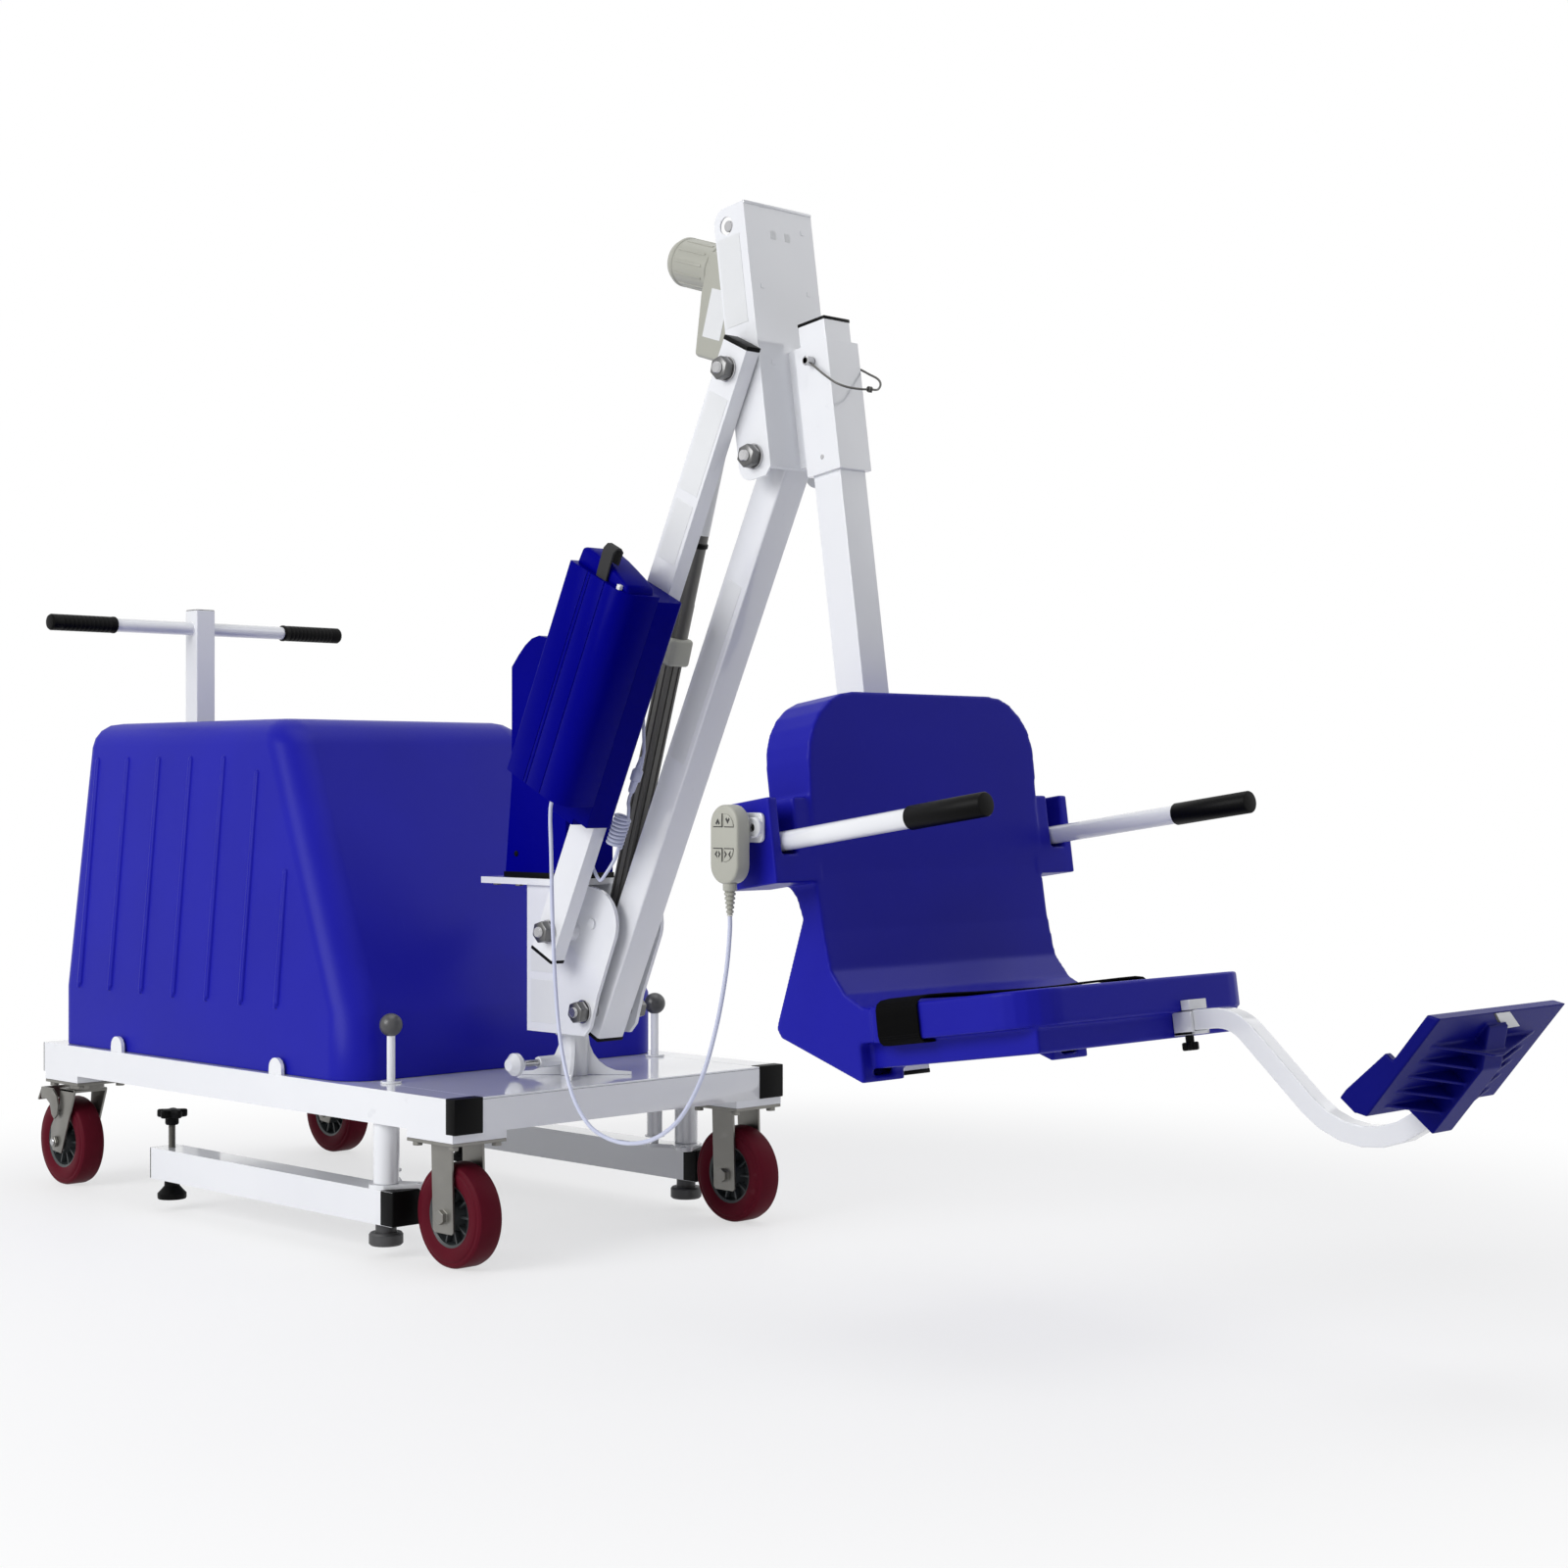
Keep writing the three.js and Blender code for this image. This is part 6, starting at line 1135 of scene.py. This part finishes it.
# %% Footrest socket
SOCKET_Y, SOCKET_U, SOCKET_FRONT = 80, 505.6, 534.2
KNOB_U = SOCKET_U + 9.7
socket_walls = (
    (SOCKET_U, -18, -856, -13.2, -826.4), (SOCKET_U, 13.2, -856, 18, -826.4),
    (SOCKET_U, -18, -856, 18, -851.2), (520.6, -18, -824.8, 18, -812),
)
socket = [
    (brick((u, SOCKET_Y + near, low), (SOCKET_FRONT, SOCKET_Y + far, high), 0.9), white)
    for u, near, low, far, high in socket_walls
]
socket += [
    (slab(star(11.5, 6, 0.16, 48, KNOB_U, SOCKET_Y), -875.5, -865, "z", 2, 2, 50), black),
    (rod(5.5, -866, -855, "z", (KNOB_U, SOCKET_Y, 0), 0.6, 24), black),
]
add_piece("footrest_socket", "head", HEAD, socket, ["footrest_receiver"])

# %% [markdown]
# The handset is a warm grey case with a generous round edge. Its four quarter-round buttons carry
# plain arrows, and a ribbed sleeve guides the lead.

# %% Handset
# One dark finish serves for the printed arrows and as painted shade: in the gaps round the buttons, in
# the hook screw's socket and beside the foot plate's flash.
ink_and_shade = make_finish("printed_ink_and_painted_shade", (0.02, 0.02, 0.02), (0.012, 0.012, 0.012), 0.5, grain=900)
HANDSET_X, HANDSET_Z = 564, (572, 672)
FRONT, REAR = -340, -316.6
case_line = round_box((539, 589), HANDSET_Z, 24.6, 9)
relief = [(0, 573), (9, 573), (9, 565), (8.4, 563.5), (7.2, 563)]
for k in range(5):
    top, wide = 561 - 5.6 * k, 7.4 - 0.65 * k
    relief += [(wide - 1.7, top + 0.8), (wide, top - 0.4), (wide, top - 2.8), (wide - 1.7, top - 3.6)]
relief += [(3.8, 532.2), (0, 532.2)]
add_piece("handset_case", "head", BASE, [
    (slab(case_line, FRONT + 0.4, REAR, "y", 3.2, 4, 40), beige),
    (turned(relief, "z", (HANDSET_X, -328.3, 0), 32), beige),
], ["handset"], 40)
BUTTON = 16.4
arrows = {
    (-1, 1): [[(-4.6, -2.6), (0, 3), (4.6, -2.6), (2, -4.2), (0, -1.4), (-2, -4.2)]],
    (1, 1): [[(-4.6, 2.6), (0, -3), (4.6, 2.6), (2, 4.2), (0, 1.4), (-2, 4.2)]],
    (-1, -1): [[(-1.2, 4.4), (-6, 0), (-1.2, -4.4), (-1.2, -1.4), (-2.8, 0), (-1.2, 1.4)],
               [(1.2, 4.4), (1.2, 1.4), (2.8, 0), (1.2, -1.4), (1.2, -4.4), (6, 0)]],
    (1, -1): [[(-6, 4.4), (-1.2, 0), (-6, -4.4), (-6, -1.4), (-4.4, 0), (-6, 1.4)],
              [(6, 4.4), (6, 1.4), (4.4, 0), (6, -1.4), (6, -4.4), (1.2, 0)]],
}


def quarter(radius, inset):
    """A quarter-round outline around the present button, its square corner moved by inset."""
    x, z = HANDSET_X + right * (corner[0] + inset), corner[1] + up * inset
    curve = ring_points(radius, 9, (0, 0), 0, 90)
    return [(x, z)] + [(x + right * a, z + up * b) for a, b in curve]


for number in range(1, 5):
    low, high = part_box(f"button_{number}")
    right = 1 if (low[0] + high[0]) / 2 / MM - SHIFT_X > HANDSET_X else -1
    up = 1 if (low[2] + high[2]) / 2 / MM > sum(HANDSET_Z) / 2 else -1
    corner = (2.1, 644.4 if up > 0 else 616.6)
    # A dark flat sheet on the case's face, a little larger than each button, is painted shade in the gap
    # round the button.
    groove_shade = slab(quarter(BUTTON + 1, -0.9), FRONT + 0.1, FRONT + 1, "y", 0)
    add_piece(f"button_groove_shade_{number}", "head", BASE, [(groove_shade, ink_and_shade)])
    x, z = HANDSET_X + right * (corner[0] + 6.9), corner[1] + up * 6.9
    button = slab(quarter(BUTTON - 0.4, 0.3), FRONT - 1, FRONT + 0.4, "y", 0.4, 2)
    marks = []
    for arrow in arrows[(right, up)]:
        mark = [(x + 0.9 * a, z + 1.1 * b) for a, b in arrow]
        marks.append((slab(mark, FRONT - 1.2, FRONT - 0.6, "y", 0), ink_and_shade))
    add_piece(
        f"button_face_{number}", f"button_{number}", BASE, [(button, beige), *marks],
        [f"button_{number}"],
    )
HOOK_SCREW = (585, 0, 643)
hook_ring = [
    (5.4, -311), (11.5, -311), (13.4, -309), (13.4, -304.4), (5.4, -304.4), (5.4, -311),
]
# The dark hexagon at the bottom of the hook screw's hole is painted shade in its socket.
hook_socket_shade = [(0, -307), (5.2, -307), (5.2, -304.2), (0, -304.2)]
add_piece("handset_hook", "head", BASE, [
    (slab(round_box((556, 597), (624, 662), 7, 6), -304, -298.6, "y", 1.4, 2), white),
    (turned(hook_ring, "y", HOOK_SCREW, 36), white),
    (turned(hook_socket_shade, "y", HOOK_SCREW, 6), ink_and_shade),
    (brick((548, -316.3, 618), (572, -303.6, 655), 2), white),
], ["handset_holder"])

# %% [markdown]
# Black caps close the rails, the outriggers' rear ends and the handle's post. A white turned knob
# pulls the lock that holds the mast, and the foot plate gets a pale flash with a dark line along
# one edge, which is a painted shadow of the flash.

# %% Caps, slew knob and foot plate trim
CAP_Y = 303.1
for label, side in sides:
    y = CAP_Y * side
    add_piece(f"rail_caps_{label}", "base", BASE, [
        (brick((-1159.2, y - 25.2, 199.6), (-1156.2, y + 25.2, 249.8), 0.8), black),
        (brick((-19.8, y - 25.9, 198.9), (1.2, y + 25.9, 250.6), 1.2), black),
    ], [f"front_cap_{label}"])
    y = RAIL_Y * side
    add_piece(f"outrigger_rear_cap_{label}", f"outrigger_{label}", BASE, [
        (brick((-813.2, y - 25.2, 51.4), (-810.2, y + 25.2, 101.6), 0.8), black),
    ])
add_piece("handle_post_cap", "handle", BASE, [
    (brick((-1201.6, -18.6, 1012), (-1164.4, 18.6, 1016.9), 1), black),
])
SLEW_ROD = (-140, 0, 272.3)
slew_knob = [(0, -119), (9, -118.2), (17.4, -108), (17.4, -101), (9, -90.6), (6.4, -88), (0, -88)]
add_piece("slew_knob", "slew_knob", BASE, [
    (turned(slew_knob, "y", SLEW_ROD, 40), white),
    (rod(5, -90, -27, "y", SLEW_ROD), steel),
], ["slew_lock_knob"])
add_piece("footplate_flash_and_painted_shadow", "footrest", PLATE, [
    (slab([(155, 60), (155, 92), (128, 145), (127, 110)], -15.9, -15, "z", 0.3, 1), label_white),
    # The dark strip along the flash's edge is a painted shadow.
    (slab([(155, 56), (155, 62), (127, 112), (126, 104)], -15.6, -15, "z", 0.2, 1), ink_and_shade),
])

# %% [markdown]
# Swivel casters have pressed forks. Two broad cheeks slant back from the crown to the axle, so
# the wheel trails behind the swivel. The brake is a bent lever outside the outer cheek, with a
# tread.

# %% Rear forks and brakes
CHEEK, CHEEK_THICK = 28, 4
AXLE = (REAR_AXLE, 0, AXLE_HEIGHT)
cheek_line = [
    (-1133, 170.6), (-1136, 143), (-1165, 101), (-1167, 72), (-1160, 60), (-1132, 57), (-1128, 66),
    (-1087, 164), (-1087, 170.6),
]
lever_line = [
    (-1188, 169), (-1150, 169), (-1136, 158), (-1131, 140), (-1134, 124), (-1144, 116),
    (-1153, 124), (-1159, 142), (-1170, 149), (-1188, 149),
]
tread_line = [(-1203, 146), (-1189, 169), (-1185, 169), (-1199, 145)]
for label, side in sides:
    middle = WHEEL_Y * side
    fork = [(brick((-1134, middle - 32, 165), (-1086, middle + 32, 170.7), 1.2), zinc)]
    for face in (middle - CHEEK - CHEEK_THICK, middle + CHEEK):
        fork.append((slab(cheek_line, face, face + CHEEK_THICK, "y", 0.8, 2), zinc))
    fork += [
        (rod(6, middle - 40, middle + 38, "y", AXLE), steel),
        (rod(10, middle - 38, middle - 32, "y", AXLE, 0.8, 6), zinc),
        (rod(10, middle + 32, middle + 38, "y", AXLE, 0.8, 6), zinc),
        (rod(5, middle + 38 * side, middle + 32 * side, "y", (-1140, 0, 128)), steel),
    ]
    add_piece(f"rear_caster_fork_{label}", f"rear_fork_{label}", BASE, fork,
              [f"rear_fork_{label}"])
    outer = sorted((middle + 35 * side, middle + 38.5 * side))
    across = sorted((middle + 37 * side, middle - 18 * side))
    add_piece(f"brake_lever_{label}", f"pedal_{label}", BASE, [
        (slab(lever_line, *outer, "y", 0.8, 2), zinc),
        (slab(tread_line, *across, "y", 0.6, 1), zinc),
    ], [f"brake_pedal_{label}"])
print("rear forks and brakes", 2 * len(sides))

# %% [markdown]
# The cover is one moulding, stiffened by upright bars with round edges and ends. They lean with the
# wall, and the two at the front are shorter under the sloping face.

# %% Cover bars
BAR_COUNT, BAR_RADIUS, BAR_SUNK = 7, 6.6, 3.0
COVER_REAR, COVER_FRONT, COVER_WIDTH, COVER_LEAN = 1119.0, 270.0, 632.0, 61.0
COVER_FOOT, COVER_TALL = 350.3, 453.0
BAR_FIRST, BAR_TALL, BAR_BACK = COVER_REAR - 60, 388.0, 30.0
BAR_PITCH = (BAR_FIRST - COVER_FRONT - 195) / (BAR_COUNT - 1)
bars = []
for side in (-1, 1):
    for count, share in enumerate((1, 1, 1, 1, 1, 0.94, 0.54)):
        x = -BAR_FIRST + BAR_PITCH * count
        tall = BAR_TALL * share
        foot_y = side * (COVER_WIDTH / 2 - BAR_SUNK)
        head_y = side * (COVER_WIDTH / 2 - BAR_SUNK - COVER_LEAN / COVER_TALL * tall)
        foot = (x, foot_y, COVER_FOOT + 8)
        head = (x - BAR_BACK * share, head_y, COVER_FOOT + tall)
        middle = tuple((low + high) / 2 for low, high in zip(foot, head))
        bars.append((wire([foot, middle, head], BAR_RADIUS, 20), blue))
        bars += [(ball(BAR_RADIUS, end, 20), blue) for end in (foot, head)]
add_piece("cover_bars", "cover", BASE, bars, smooth=60)
print("cover bars", 2 * BAR_COUNT)

# %% [markdown]
# The seat is one hollow moulding with soft edges all over, and so is the foot plate. A bevel
# can't give that evenly on such a shell. So a copy of each solid is laid straight, remeshed into
# small even faces, smoothed until its edges are round, thinned and turned back to its place.


# %% Moulded seat and foot plate
def moulded(node, straight, voxel, rounds, keep, look, body, name):
    """A softened copy of a solid; straight is the frame in which its faces lie flat."""
    mesh = bpy.data.meshes.new(name)
    shape = bmesh.new()
    shape.from_mesh(nodes[node].data)
    bmesh.ops.remove_doubles(shape, verts=shape.verts, dist=WELD_GAP)
    moved(shape, Matrix.Scale(MM, 4) @ straight.inverted()).to_mesh(mesh)
    shape.free()
    piece = put(name, mesh)
    add_modifier(piece, "REMESH", mode="VOXEL", voxel_size=voxel)
    add_modifier(piece, "SMOOTH", factor=0.5, iterations=rounds)
    add_modifier(piece, "DECIMATE", ratio=keep)
    graph = bpy.context.evaluated_depsgraph_get()
    made = bpy.data.meshes.new_from_object(piece.evaluated_get(graph))
    piece.modifiers.clear()
    piece.data = made
    bpy.data.meshes.remove(mesh)
    made.name = name
    made.transform(straight @ Matrix.Scale(1 / MM, 4))
    made.polygons.foreach_set("use_smooth", [True] * len(made.polygons))
    made.materials.clear()
    made.materials.append(look)
    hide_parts(node)
    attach(piece, body)
    print(name, "faces", len(made.polygons))


moulded("seat_shell", HEAD, 0.0024, 8, 0.22, blue, "head", "moulded_seat")
# The foot plate is the seat's blue plastic made darker: painted shade, for the shade that lies on the
# plate's underside.
foot_blue_painted_shade = make_finish(
    "footplate_blue_painted_shade", (0.004, 0.005, 0.2), (0.003, 0.004, 0.16), 0.34, patch=4, grain=900,
    bump=0.2, spread=0.1, scuff=0.2, worn=(0.012, 0.012, 0.26), specular=0.05,
)
moulded("footplate", PLATE, 0.0012, 5, 0.25, foot_blue_painted_shade, "footrest", "moulded_footplate")
